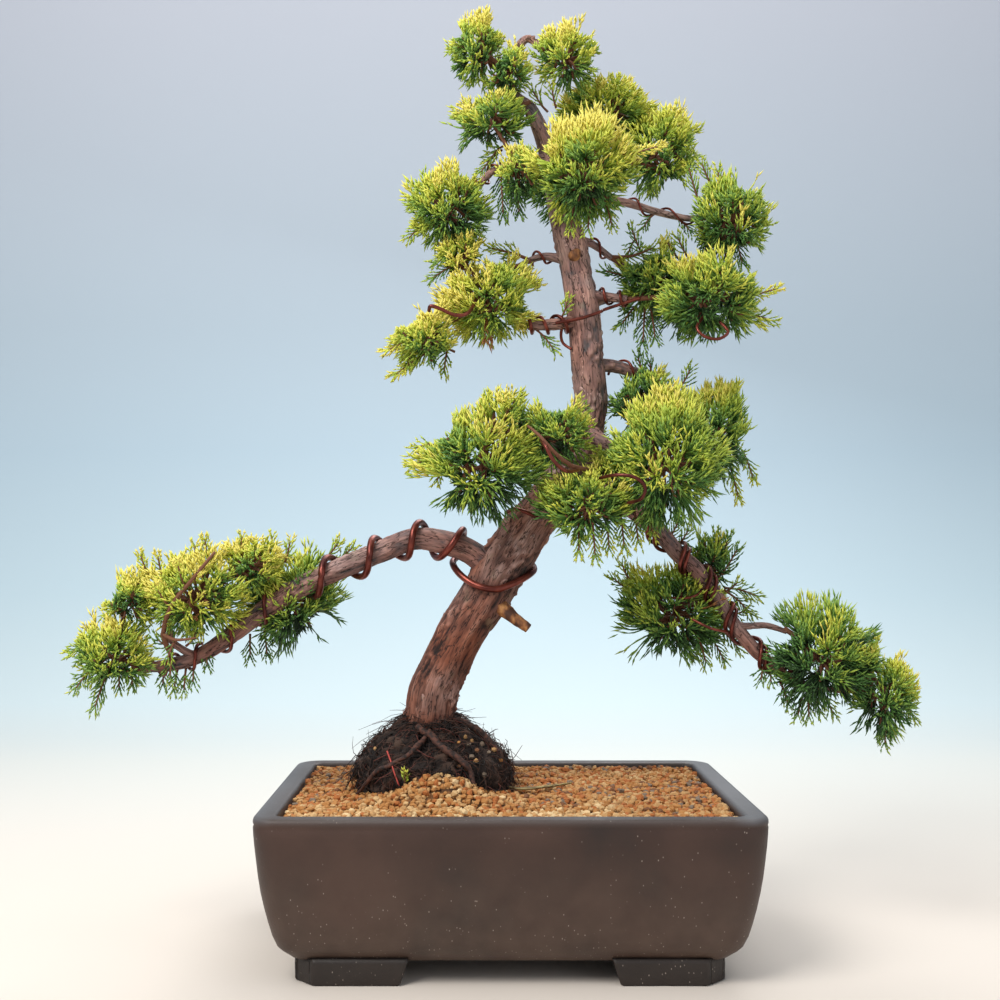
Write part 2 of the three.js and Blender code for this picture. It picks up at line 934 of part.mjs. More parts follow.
bodies.set("root_ball", without(withRoots(rootBall(0), 0), grownLimbs.trunk));
bodies.set("soil", soil());
bodies.set("pot", pot());
bodies.set("foot_front_left", foot(-1, -1));
bodies.set("foot_front_right", foot(1, -1));
bodies.set("foot_rear_left", foot(-1, 1));
bodies.set("foot_rear_right", foot(1, 1));

// The finished group: the tree with its wires, and the pot with its soil

const MATERIALS = {
  bark: { color: 0x6f4a3d, roughness: 0.9, metalness: 0 },
  foliage: { color: 0x6f8a24, roughness: 0.75, metalness: 0 },
  wire: { color: 0x6b3527, roughness: 0.4, metalness: 0.8 },
  clay: { color: 0x4a3430, roughness: 0.65, metalness: 0 },
  soil: { color: 0xb5793c, roughness: 0.95, metalness: 0 },
  roots: { color: 0x2a1c16, roughness: 0.95, metalness: 0 },
};

function kindOf(name) {
  if (name in FOLIAGE) return "foliage";
  if (name in wirePaths) return "wire";
  if (name === "soil") return "soil";
  if (name === "root_ball") return "roots";
  return name === "pot" || name.startsWith("foot") ? "clay" : "bark";
}

const materials = Object.fromEntries(
  Object.entries(MATERIALS).map(([kind, look]) => [kind, new THREE.MeshStandardMaterial(look)]),
);
const tree = new THREE.Group();
const planter = new THREE.Group();
const bonsai = new THREE.Group();
bonsai.add(tree, planter);

for (const [name, solid] of bodies) {
  const { vertProperties, triVerts } = solid.getMesh();
  const geometry = new THREE.BufferGeometry();
  geometry.setAttribute("position", new THREE.BufferAttribute(vertProperties.slice(), 3));
  geometry.setIndex(new THREE.BufferAttribute(triVerts.slice(), 1));
  geometry.computeVertexNormals();
  const kind = kindOf(name);
  const mesh = new THREE.Mesh(geometry, materials[kind]);
  mesh.name = name;
  const inPot = kind === "clay" || kind === "soil" || kind === "roots";
  (inPot ? planter : tree).add(mesh);
}

const bounds = new THREE.Box3().setFromObject(bonsai);
const centre = bounds.getCenter(new THREE.Vector3());
bonsai.position.set(-centre.x, -centre.y, -bounds.min.z);

export default bonsai;
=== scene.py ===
"""A wired golden juniper bonsai in a low clay pot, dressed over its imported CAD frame.

Lengths are millimetres about the middle of the pot on the ground, as in the part's source, and become
metres in the row frame only when a mesh is made.
"""

import itertools
import math

import bpy
import numpy as np
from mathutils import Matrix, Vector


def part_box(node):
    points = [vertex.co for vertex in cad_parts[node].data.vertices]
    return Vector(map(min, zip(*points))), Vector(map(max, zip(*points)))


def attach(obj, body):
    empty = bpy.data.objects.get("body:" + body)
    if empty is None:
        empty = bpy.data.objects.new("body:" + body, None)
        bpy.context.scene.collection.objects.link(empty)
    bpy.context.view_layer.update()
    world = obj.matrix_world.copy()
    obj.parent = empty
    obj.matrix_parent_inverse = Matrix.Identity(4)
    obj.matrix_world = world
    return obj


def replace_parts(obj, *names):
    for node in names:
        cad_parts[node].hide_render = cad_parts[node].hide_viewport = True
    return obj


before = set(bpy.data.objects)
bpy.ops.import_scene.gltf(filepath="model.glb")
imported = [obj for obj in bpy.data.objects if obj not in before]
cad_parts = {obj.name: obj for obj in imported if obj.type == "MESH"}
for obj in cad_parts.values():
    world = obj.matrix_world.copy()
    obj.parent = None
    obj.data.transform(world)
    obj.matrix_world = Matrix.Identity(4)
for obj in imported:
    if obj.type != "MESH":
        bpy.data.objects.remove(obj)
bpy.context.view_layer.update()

pot_low, pot_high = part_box("pot")
POT_MIDDLE = np.array([(pot_low.x + pot_high.x) / 2, (pot_low.y + pot_high.y) / 2, 0.0])


# Camera, placed from the photograph's perspective

PHOTO_SIDE = 1000
SENSOR = 36.0
LENS = 45.9
VANISHING_PIXEL = (475, 554)
CAMERA_AT = (-21.2, -853.0, 258.0)


def put_in_scene(name, data):
    made = bpy.data.objects.new(name, data)
    bpy.context.scene.collection.objects.link(made)
    return made


def make_camera():
    data = bpy.data.cameras.new("view")
    data.sensor_width = SENSOR
    data.lens = LENS
    data.shift_x = 0.5 - VANISHING_PIXEL[0] / PHOTO_SIDE
    data.shift_y = VANISHING_PIXEL[1] / PHOTO_SIDE - 0.5
    camera = put_in_scene("view", data)
    camera.location = POT_MIDDLE + np.array(CAMERA_AT) / 1000
    camera.rotation_euler = (math.pi / 2, 0, 0)
    bpy.context.scene.camera = camera


FOCAL_PIXELS = LENS / SENSOR * PHOTO_SIDE


def seen_at(px, py, depth):
    """The point, in mm, that a pixel of the photograph shows at a depth behind the pot's middle."""
    scale = (depth - CAMERA_AT[1]) / FOCAL_PIXELS
    x = CAMERA_AT[0] + (px - VANISHING_PIXEL[0]) * scale
    z = CAMERA_AT[2] - (py - VANISHING_PIXEL[1]) * scale
    return vector(x, depth, z)


def photo_pixels(points):
    """The pixels of the photograph where points in mm are seen."""
    scale = (points[:, 1] - CAMERA_AT[1]) / FOCAL_PIXELS
    px = VANISHING_PIXEL[0] + (points[:, 0] - CAMERA_AT[0]) / scale
    py = VANISHING_PIXEL[1] - (points[:, 2] - CAMERA_AT[2]) / scale
    return px, py


# Numbers and vectors

SEEDS = {"masses": 100, "sprigs": 300, "bark": 400, "soil": 500, "roots": 600}


def numbers(seed):
    """The same seeded source of numbers from 0 to 1 as in the part's source."""
    state = seed
    word = 0xFFFFFFFF

    def following():
        nonlocal state
        state = (state + 0x6D2B79F5) & word
        t = ((state ^ (state >> 15)) * (state | 1)) & word
        t = ((t + (((t ^ (t >> 7)) * (t | 61)) & word)) & word) ^ t
        return ((t ^ (t >> 14)) & word) / 4294967296

    return following


def vector(*values):
    return np.array(values, float)


def unit(v):
    return v / np.maximum(np.linalg.norm(v, axis=-1, keepdims=True), 1e-9)


def mix(a, b, t):
    return a + (b - a) * t


def turns(count):
    """Angles that go once round in equal steps."""
    return 2 * np.pi * np.arange(count) / count


def around(side, other, angles):
    """Directions at some angles round a line, from two that are square to it."""
    return side[..., None, :] * np.cos(angles)[:, None] + other[..., None, :] * np.sin(angles)[:, None]


def off_line(way):
    """A direction well off each way: up, or to the right for those that are steep."""
    return np.where(np.abs(way[:, 2:3]) > 0.8, vector(1, 0, 0), vector(0, 0, 1))


CORNERS = list(itertools.product((0, 1), repeat=3))
LATTICE_KEYS = np.array([374761393, 668265263, 2147483647])


def noise(places, seed=0):
    """Smooth noise from -1 to 1, one cell to a unit of length."""
    cell = np.floor(places).astype(np.int64)
    part = places - cell
    part = part * part * (3 - 2 * part)
    total = 0.0
    for corner in CORNERS:
        key = (cell + corner) @ LATTICE_KEYS + seed * 144665
        key = (key ^ (key >> 13)) * 1274126177
        value = ((key ^ (key >> 16)) & 0xFFFF) / 32767.5 - 1
        weight = np.prod(np.where(corner, part, 1 - part), axis=-1)
        total = total + weight * value
    return total


def step(low, high, value):
    t = np.clip((value - low) / (high - low), 0, 1)
    return t * t * (3 - 2 * t)


# Meshes


class Heap:
    """Points and faces that gather into one mesh. Faces are lists of equal length, kept by that length."""

    def __init__(self):
        self.points = []
        self.faces = {}
        self.count = 0
        self.values = []
        self.grains = []

    def add(self, points, *face_sets, value=None, grain=None):
        points = np.asarray(points, float).reshape(-1, 3)
        for faces in face_sets:
            faces = np.asarray(faces, int)
            self.faces.setdefault(faces.shape[-1], []).append(faces.reshape(-1, faces.shape[-1]) + self.count)
        self.points.append(points)
        if value is not None:
            self.values.append(np.broadcast_to(value, len(points)))
        if grain is not None:
            self.grains.append(np.reshape(grain, (-1, 3)))
        self.count += len(points)

    def mesh(self, name, material, smooth=True):
        """The object made of everything in the heap, riding on the plant's one body."""
        points = np.concatenate(self.points) / 1000 + POT_MIDDLE
        sets = [np.concatenate(group) for group in self.faces.values()]
        sizes = np.concatenate([np.full(len(group), group.shape[1]) for group in sets])
        corners = np.concatenate([group.ravel() for group in sets])
        data = bpy.data.meshes.new(name)
        data.vertices.add(len(points))
        data.vertices.foreach_set("co", points.ravel().astype(np.float32))
        data.loops.add(len(corners))
        data.loops.foreach_set("vertex_index", corners.astype(np.int32))
        data.polygons.add(len(sizes))
        starts = np.concatenate([[0], np.cumsum(sizes)[:-1]])
        data.polygons.foreach_set("loop_start", starts.astype(np.int32))
        data.polygons.foreach_set("use_smooth", np.full(len(sizes), smooth))
        for kept, kind, field, parts in (
            ("relief", "FLOAT", "value", self.values),
            ("grain", "FLOAT_VECTOR", "vector", self.grains),
        ):
            if parts:
                attribute = data.attributes.new(kept, kind, "POINT")
                attribute.data.foreach_set(field, np.concatenate(parts).ravel().astype(np.float32))
        data.update(calc_edges=True)
        data.validate()
        data.materials.append(material)
        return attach(put_in_scene(name, data), "root")


def tube_faces(rings, sides):
    """Quads that skin rings of points, and the two end faces."""
    i, j = np.meshgrid(np.arange(rings - 1), np.arange(sides), indexing="ij")
    a = i * sides + j
    b = i * sides + (j + 1) % sides
    quads = np.stack([a, b, b + sides, a + sides], -1).reshape(-1, 4)
    start = np.arange(sides)[::-1]
    return quads, np.stack([start, (rings - 1) * sides + np.arange(sides)])


def cords(heap, paths, radii, sides=3):
    """Many tubes at once. paths is (tubes, rings, 3) and radii (tubes, rings)."""
    paths = np.asarray(paths, float)
    radii = np.asarray(radii, float)
    many, rings = paths.shape[:2]
    ahead = np.empty_like(paths)
    ahead[:, 1:-1] = paths[:, 2:] - paths[:, :-2]
    ahead[:, 0] = paths[:, 1] - paths[:, 0]
    ahead[:, -1] = paths[:, -1] - paths[:, -2]
    ahead = unit(ahead)
    steady = off_line(unit(paths[:, -1] - paths[:, 0]))[:, None, :]
    side = unit(steady - ahead * np.sum(steady * ahead, -1, keepdims=True))
    out = around(side, np.cross(ahead, side), turns(sides))
    points = paths[:, :, None] + out * radii[:, :, None, None]
    shift = (np.arange(many) * rings * sides)[:, None, None]
    heap.add(points, *(faces[None] + shift for faces in tube_faces(rings, sides)))


def trios(run, radii):
    """Three points about zero for each finger, square to its run."""
    ahead = unit(run)
    side = unit(np.cross(ahead, off_line(ahead)))
    return around(side, np.cross(ahead, side), turns(3)) * radii[:, None, None]


def spindles(heap, starts, ends, radii):
    """Many short fingers at once, each with three sides and a point at either end."""
    waist = mix(starts, ends, 0.42)
    ring = waist[:, None] + trios(ends - starts, radii)
    points = np.concatenate([starts[:, None], ring, ends[:, None]], 1)
    faces = np.array([[0, 2, 1], [0, 3, 2], [0, 1, 3], [4, 1, 2], [4, 2, 3], [4, 3, 1]])
    heap.add(points, faces[None] + (np.arange(len(starts)) * 5)[:, None, None])


def reeds(heap, points, radii):
    """Many thin cords at once, each with three sides and a point at either end. points is (cords, 4, 3)."""
    ring = trios(points[:, 3] - points[:, 0], radii)
    near = points[:, 1:2] + 0.8 * ring
    far = points[:, 2:3] + ring
    faces = [[0, 1 + (k + 1) % 3, 1 + k] for k in range(3)]
    faces += [[7, 4 + k, 4 + (k + 1) % 3] for k in range(3)]
    walls = [[1 + k, 1 + (k + 1) % 3, 4 + (k + 1) % 3, 4 + k] for k in range(3)]
    shift = (np.arange(len(points)) * 8)[:, None, None]
    skin = np.concatenate([points[:, :1], near, far, points[:, 3:]], 1)
    heap.add(skin, np.array(faces)[None] + shift, np.array(walls)[None] + shift)


# Limbs, with the same lines as the part's source: [x, y, z, radius]


def along(line, t):
    """Points of the smooth line through the control points, at shares t of its length in points."""
    line = np.asarray(line, float)
    last = len(line) - 1
    place = np.clip(np.atleast_1d(t), 0, 1) * last
    i = np.minimum(place.astype(int), last - 1)
    u = (place - i)[:, None]
    a = line[np.maximum(i - 1, 0)]
    b = line[i]
    c = line[i + 1]
    d = line[np.minimum(i + 2, last)]
    return b + 0.5 * u * (c - a + u * (2 * a - 5 * b + 4 * c - d + u * (3 * (b - c) + d - a)))


def stations(line, count, start=0.0, end=1.0):
    """Places, radii and two directions square to the line that turn as little as they can."""
    t = np.linspace(start, end, count + 1)
    here = along(line, t)
    ahead = unit(along(line, t + 0.01)[:, :3] - along(line, t - 0.01)[:, :3])
    side = vector(0, -1, 0)
    sides = np.empty_like(ahead)
    for k, a in enumerate(ahead):
        side = unit(side - a * np.dot(side, a))
        sides[k] = side
    return here[:, :3], here[:, 3], sides, np.cross(ahead, sides)


TRUNK = [
    [-56, 0, 96, 27], [-55, 0, 116, 22], [-53, 0, 137, 18.4], [-51, 0, 152, 16.8], [-47, 0, 172, 16.4],
    [-33, 0, 200, 16.2], [-16, 0, 227, 16.8], [-3, 0, 251, 17.2], [12, 0, 274, 15.8], [33, 2, 301, 14.1],
    [49, 4, 327, 12.8], [56, 4, 355, 11.8], [54.5, 3, 385, 11.4], [52.5, 2, 411, 11.1],
    [47, 1, 445, 10.7], [40, 0, 477, 10.4], [33, -1, 505, 8], [26, -2, 531, 6], [17, -4, 552, 4.8],
    [6, -5, 561, 4.1], [-3, -6, 568, 3.7], [1, -8, 581, 3.3], [7, -9, 593, 2.9], [14, -9, 599, 2.5],
    [22, -10, 592, 2],
]
CUT_STUB = [[-7, -5, 225, 5.4], [2, -11, 218, 4.6], [14, -14, 209, 3.4]]
CUT_FACE = [[45, -4, 456, 4], [44.5, -9.5, 455.5, 3.6], [44, -12.4, 455, 3]]  # where a bough was cut flush
BOUGHS = {
    "left_bough": [
        [-4, 0, 243, 8.7], [-22, -3, 258, 8.3], [-38, -6, 265, 8.3], [-61, -9, 268, 7.6],
        [-84, -13, 259, 7.2], [-110, -17, 248, 7.2], [-136, -20, 236, 6.9], [-158, -22, 222, 6.2],
        [-177, -24, 207, 5.5], [-200, -26, 192, 4.9], [-220, -28, 186, 4.2], [-237, -30, 184, 2.9],
    ],
    "left_upper_twig": [[-202, -26, 191, 2.6], [-216, -35, 203, 2.2], [-214, -38, 221, 2]],
    "left_inner_twig": [[-133, -19, 238, 2.6], [-138, -7, 245, 2.3], [-141, 2, 243, 1.9]],
    "right_bough": [
        [40, 2, 310, 7.4], [57, 14, 307, 6.8], [77, 14, 295, 6.5], [100, 8, 276, 6.1], [116, 2, 257, 5.7],
        [127, -2, 247, 5.3], [140, -5, 229, 4.7], [148, -8, 215, 4.6], [163, -12, 195, 4.4],
        [177, -14, 183, 3.6], [192, -15, 173, 3], [209, -16, 170, 2.5], [223, -17, 168, 2],
    ],
    "right_inner_twig": [[132, -3, 241, 2.7], [127, 4, 228, 2.3], [119, 8, 223, 1.8]],
    "right_outer_twig": [[152, -9, 210, 2.4], [170, -15, 211, 2.1], [183, -18, 207, 1.6]],
    "front_left_bough": [[51, 4, 325, 6], [44, -18, 318, 4.9], [31, -36, 323, 4.1], [17, -47, 329, 3.2]],
    "front_right_bough": [[55, 4, 341, 5.4], [63, -20, 331, 4.3], [75, -38, 323, 3.2]],
    "back_low_bough": [[52, 4, 337, 6], [51, 24, 335, 4.8], [47, 46, 334, 3.5]],
    "right_elbow_bough": [
        [54, 3, 383, 5.4], [71, 8, 385, 4.3], [92, 14, 379, 3.7], [111, 20, 369, 3], [129, 24, 358, 2.3],
    ],
    "mid_left_bough": [[51, 2, 414, 4.7], [31, -8, 410, 3.7], [14, -11, 409, 3.2]],
    "mid_left_high_bough": [[44, 1, 454, 3.7], [26, 4, 458, 2.7], [15, 4, 455, 2.3]],
    "mid_right_bough": [[49, 1, 433, 4], [66, -2, 430, 3.1], [80, -6, 427, 2.7]],
    "mid_right_high_bough": [[41, 0, 469, 3.3], [56, 4, 467, 2.6], [71, 8, 458, 2.2]],
    "back_mid_bough": [[49, 2, 420, 4.4], [65, 22, 432, 3.4], [91, 36, 438, 2.8]],
    "upper_left_bough": [
        [29, -2, 522, 4], [10, -6, 517, 3.1], [-9, -10, 511, 2.6], [-19, -10, 501, 2.2],
        [-27, -11, 494, 1.8],
    ],
    "right_shoulder_bough": [
        [37, 0, 498, 4], [58, 14, 501, 3], [83, 16, 497, 2.7], [101, 14, 491, 2.4], [124, 10, 485, 2.2],
        [139, 8, 486, 1.8],
    ],
}

# Knots and old cuts on the bark: [x, z, across, how far it stands out], seen from the front.
KNOTS = [
    [46, 462, 7, 2.2], [-30, 222, 6, 1.8], [-41, 168, 7, 1.4], [50, 372, 6, 2], [51, 430, 5, 1.6],
    [-78, 262, 4, 1.2], [-112, 249, 4, 1.2], [20, 288, 6, 1.6], [-3, 256, 9, 2.6], [8, 264, 6, 2.0],
    [-10, 246, 6, 2.0],
]

BARK_STEP = 1.05  # the bark mesh's spacing
# How deep the bark's relief is on thick limbs, and how much wider a limb is at its foot.
BARK_DEPTHS = {"trunk": 1.25, "bough": 1.2, "cut_stub": 1.3, "cut_face": 1.0}
FLARES = {"trunk": 0.0, "bough": 0.35, "cut_stub": 0.15, "cut_face": 0.3}
FLAKES = 0.022  # tried for each point of the bark mesh
FLAKE_LENGTHS = {"trunk": 5.5, "bough": 3.5}  # of the longest flakes
FLAKED_FROM = 5  # limbs with a greater radius at the foot have flakes


def bark_relief(distance, angle, radius, seed):
    """Height of the bark, about -1 to 1: flat peeling plates, thin cracks and rough old patches."""
    x = radius * np.cos(angle)
    y = radius * np.sin(angle)

    def grain(along_it, across, shift, bend=0.0):
        places = np.stack([distance / along_it, (x + bend) / across, (y + bend) / across], -1)
        return noise(places, seed + shift)

    warp = 2.2 * grain(16, 7, 0)
    plates = grain(24, 5, 1, warp) + 0.5 * grain(8, 2.6, 2)
    stepped = 0.75 * np.round(2.6 * plates) / 2.6 + 0.25 * plates
    cracks = np.exp(-((grain(36, 5, 3, -warp) / 0.09) ** 2))
    short_cracks = np.exp(-((grain(13, 3.4, 4, warp) / 0.07) ** 2)) * step(-0.1, 0.3, grain(20, 8, 5))
    fibre = grain(12, 1.2, 6)
    rough = step(0.12, 0.42, grain(22, 10, 7)) * (1.1 * grain(2.8, 2.4, 8) - 0.2)
    return 0.55 * stepped + 0.2 * fibre - 0.8 * np.minimum(cracks + 0.7 * short_cracks, 1) + rough


def limb_skin(heap, line, seed, kind):
    """A limb's skin with its bark, from inside the limb it grows from to its end."""
    line = np.asarray(line, float)
    lengths = np.linalg.norm(np.diff(line[:, :3], axis=0), axis=1)
    rings = int(lengths.sum() / BARK_STEP)
    sides = int(np.clip(2 * np.pi * line[:, 3].max() / BARK_STEP, 14, 88))
    here, radius, side, other = stations(line, rings)
    distance = np.concatenate([[0], np.cumsum(np.linalg.norm(np.diff(here, axis=0), axis=1))])
    angle = turns(sides)
    d, a = np.meshgrid(distance, angle, indexing="ij")
    r = np.broadcast_to(radius[:, None], d.shape)
    relief = bark_relief(d, a, r, seed)
    lean = 0.06 * noise(np.stack([d / 30, np.cos(a), np.sin(a)], -1), seed + 9)
    collar = 1 + FLARES[kind] * np.exp(-((d / (1.6 * line[0, 3])) ** 2))
    swell = r * (collar + lean) + BARK_DEPTHS[kind] * np.minimum(r / 15, 1) ** 0.8 * relief
    out = around(side, other, angle)
    points = here[:, None] + out * swell[:, :, None]
    for x, z, wide, high in KNOTS:
        off = np.hypot(points[..., 0] - x, points[..., 2] - z) / wide
        front = out[..., 1] < -0.2
        boss = np.exp(-(off**2)) - 0.75 * np.exp(-((off / 0.45) ** 2))
        points = points + out * (high * boss * front)[..., None]
        relief = np.where(front, relief + 0.8 * boss, relief)
    quads, ends = tube_faces(rings + 1, sides)
    grain = np.stack([r * np.cos(a) + seed, r * np.sin(a), d / 5], -1)
    heap.add(points, quads, ends, value=relief.ravel(), grain=grain)
    return points, out, relief


def flakes(heap, points, out, relief, random, longest):
    """Thin flakes of bark that stand off the skin along its strips."""
    rings, sides = relief.shape
    for _ in range(int(rings * sides * FLAKES)):
        i = int(random() * (rings - 12)) + 4
        j = int(random() * sides)
        if relief[i, j] < 0.1:
            continue
        ahead = unit(points[min(i + 3, rings - 1), j] - points[i, j])
        outward = out[i, j]
        beside = np.cross(ahead, outward)
        length = longest * (0.35 + 0.65 * random())
        wide = length * (0.16 + 0.16 * random())
        lift = length * (0.1 + 0.2 * random())
        slant = 0.5 * (random() - 0.5) * length
        base = points[i, j] - 0.3 * outward
        top = base + ahead * length + outward * lift + beside * slant
        belly = base + ahead * length * 0.5 + outward * lift * 0.2
        outline = ((base, -1), (base, 1), (belly, 1.2), (top, 0.4), (top, -0.6), (belly, -1.1))
        ring = np.array([place + beside * wide * across for place, across in outline])
        under = ring - outward * 0.45
        plate = np.concatenate([ring, under])
        heap.add(
            plate,
            [[0, 1, 2, 5], [5, 2, 3, 4], [7, 6, 11, 8], [8, 11, 10, 9]],
            [[k, k + 6, (k + 1) % 6 + 6, (k + 1) % 6] for k in range(6)],
            value=0.5 + 0.4 * random(),
            grain=plate,
        )


# Foliage masses, as in the part's source: the stem's foot, how many sprays, whether dense, how golden from
# -1 for dark green to 1 for gold, then each lobe's middle and reach.

FOLIAGE = {
    "left_tip": (
        [-238, -30, 184], 10, False, 0.45,
        ([-254, -32, 194], [29, 26, 31]), ([-243, -36, 230], [21, 18, 22]),
    ),
    "left_upper": (
        [-214, -38, 222], 12, True, 0.8,
        ([-200, -36, 233], [38, 30, 34]), ([-166, -26, 251], [25, 24, 22]),
    ),
    "left_inner": ([-141, 3, 242], 10, False, 0.0, ([-143, 0, 228], [38, 34, 37])),
    "right_inner": ([118, 9, 223], 11, True, 0.1, ([113, 14, 219], [44, 34, 38])),
    "right_upper": ([135, 3, 241], 6, False, -0.3, ([139, 18, 253], [18, 18, 28])),
    "right_outer": ([184, -18, 207], 10, True, -0.3, ([205, -20, 192], [37, 36, 41])),
    "right_tip": (
        [224, -17, 168], 9, False, 0.25,
        ([246, -18, 167], [25, 28, 34]), ([232, -20, 188], [21, 20, 20]),
    ),
    "front_left": (
        [16, -48, 329], 9, True, 0.3,
        ([-20, -58, 316], [44, 36, 41]), ([33, -52, 336], [25, 24, 26]), ([-4, -58, 341], [21, 22, 25]),
    ),
    "front_right": ([76, -39, 322], 12, True, 0.45, ([98, -52, 318], [38, 38, 50])),
    "centre_low": (
        [34, -13, 298], 8, True, 0.35,
        ([48, -55, 290], [32, 28, 26]), ([67, -42, 313], [17, 18, 18]),
    ),
    "back_low": ([47, 47, 334], 8, True, 0.0, ([40, 72, 334], [44, 36, 36])),
    "elbow_near": ([88, 13, 370], 8, False, -0.35, ([92, 6, 361], [26, 24, 29])),
    "elbow_far": ([130, 24, 357], 9, True, 0.25, ([144, 24, 341], [25, 32, 45])),
    "mid_left": (
        [13, -11, 409], 8, True, 0.95,
        ([-12, -8, 427], [38, 36, 33]), ([-54, -25, 398], [26, 24, 26]), ([-30, -13, 454], [21, 20, 20]),
    ),
    "mid_right": (
        [81, -6, 427], 7, True, 0.5,
        ([134, -20, 428], [41, 36, 34]), ([98, 6, 445], [27, 32, 30]),
    ),
    "back_mid": ([92, 36, 438], 7, True, 0.0, ([130, 60, 440], [34, 30, 30])),
    "upper_left": ([-28, -11, 493], 10, True, 0.35, ([-39, -12, 487], [31, 30, 33])),
    "right_shoulder": ([140, 8, 486], 10, True, 0.15, ([152, 4, 484], [29, 30, 37])),
    "upper_front": ([34, -10, 503], 10, True, 0.85, ([48, -42, 503], [37, 34, 38])),
    "upper_right": ([41, 7, 505], 10, True, 0.5, ([106, 22, 535], [28, 32, 36])),
    "upper_top": ([30, 4, 535], 9, True, 0.7, ([68, 26, 564], [37, 32, 27])),
    "back_upper": ([34, 8, 515], 7, True, 0.2, ([46, 60, 528], [36, 32, 38])),
    "shoulder_left": (
        [12, -9, 556], 7, False, 0.4,
        ([-11, -16, 543], [31, 24, 21]), ([9, -30, 506], [18, 18, 24]),
    ),
    "apex_left": (
        [-3, -8, 577], 9, False, 0.65,
        ([-19, -14, 590], [22, 21, 28]), ([0, -16, 576], [19, 17, 22]),
    ),
    "apex_right": ([24, -10, 591], 9, False, 0.6, ([40, -6, 589], [25, 22, 26])),
}

SHADES = ["deep", "shade", "green", "leaf", "lime", "yellow", "gold"]
TAN = len(SHADES)  # the shade number of dead cords
DEAD = 50  # a shade above this is a dead cord
# Where dead, tan cords hang: [x, y, z, reach].
DEAD_PLACES = [
    [-11, -12, 398, 9], [62, -20, 338, 13], [49, 2, 345, 10], [50, -40, 338, 9], [-199, -42, 226, 12],
    [146, -10, 240, 12],
]
# Where the photograph shows the sprays greener (below 0) or more golden: pixel, radius and shades.
TONED_PLACES = [
    (570, 194, 26, -2.4), (632, 206, 12, 0.6), (676, 268, 18, -1.3), (697, 300, 20, -0.7),
    (750, 214, 20, 1.1), (466, 112, 15, 1.3), (492, 134, 12, -0.6), (668, 425, 32, -1.0),
    (642, 476, 20, 1.2), (500, 420, 26, 0.5), (500, 490, 18, -0.6), (475, 226, 14, -0.8),
    (424, 200, 16, 0.7), (840, 625, 18, 0.5),
]
GOLDEN_ANGLE = math.pi * (3 - math.sqrt(5))
STEM_SUNK = 3.5
CORE_DRAWS = 15  # numbers that the dense heart of a lobe uses up in the part's source
SPRAY_DRAWS = 2  # numbers that each spray's side shoots use up there
LATER_SPRAYS = 0.6  # how many sprays a mass's later lobes have, to its first lobe's
FINER_SPRAYS = {True: 2.2, False: 1.4}  # how many finer ones come to each, in dense masses and others
TWIG_STEPS = np.linspace(0, 1, 9)
CORD_RADIUS = 0.66
CORDS_APART = 4.1  # between neighbouring cords' tips on a lobe's surface
TIPS_MOST = 5
MIDDLE_SHADE = 3.15
# Cords that end further in are darkened as painted shade inside the mass.
PAINTED_SHADE_WITHIN = 0.86  # a cord that ends further in than this share of the lobe's reach is darker
STRAYS, STRAY_REACH = 0.05, 0.09  # the share of cords that stand out of the lobe, and how far
DRAWN_IN_TIMES, DRAWN_IN = 3, 0.86  # how a cord that ends in an open place is shortened
SPREAD = 0.5  # about the angle between neighbouring twigs of a lobe
LAYERS = [(1.0, 1.0), (0.8, 0.3), (0.58, 0.22)]  # each layer's reach, and its share of the outer one's cords


def directions(count, random):
    """Where a lobe's sprays point: spread evenly over it, a little unsteadily."""
    ways = []
    for i in range(count):
        h = 1 - (2 * (i + 0.5)) / count + 0.1 * (random() - 0.5)
        a = i * GOLDEN_ANGLE + 0.5 * random()
        r = math.sqrt(max(0, 1 - h * h))
        ways.append(vector(r * math.cos(a), r * math.sin(a), h))
    return ways


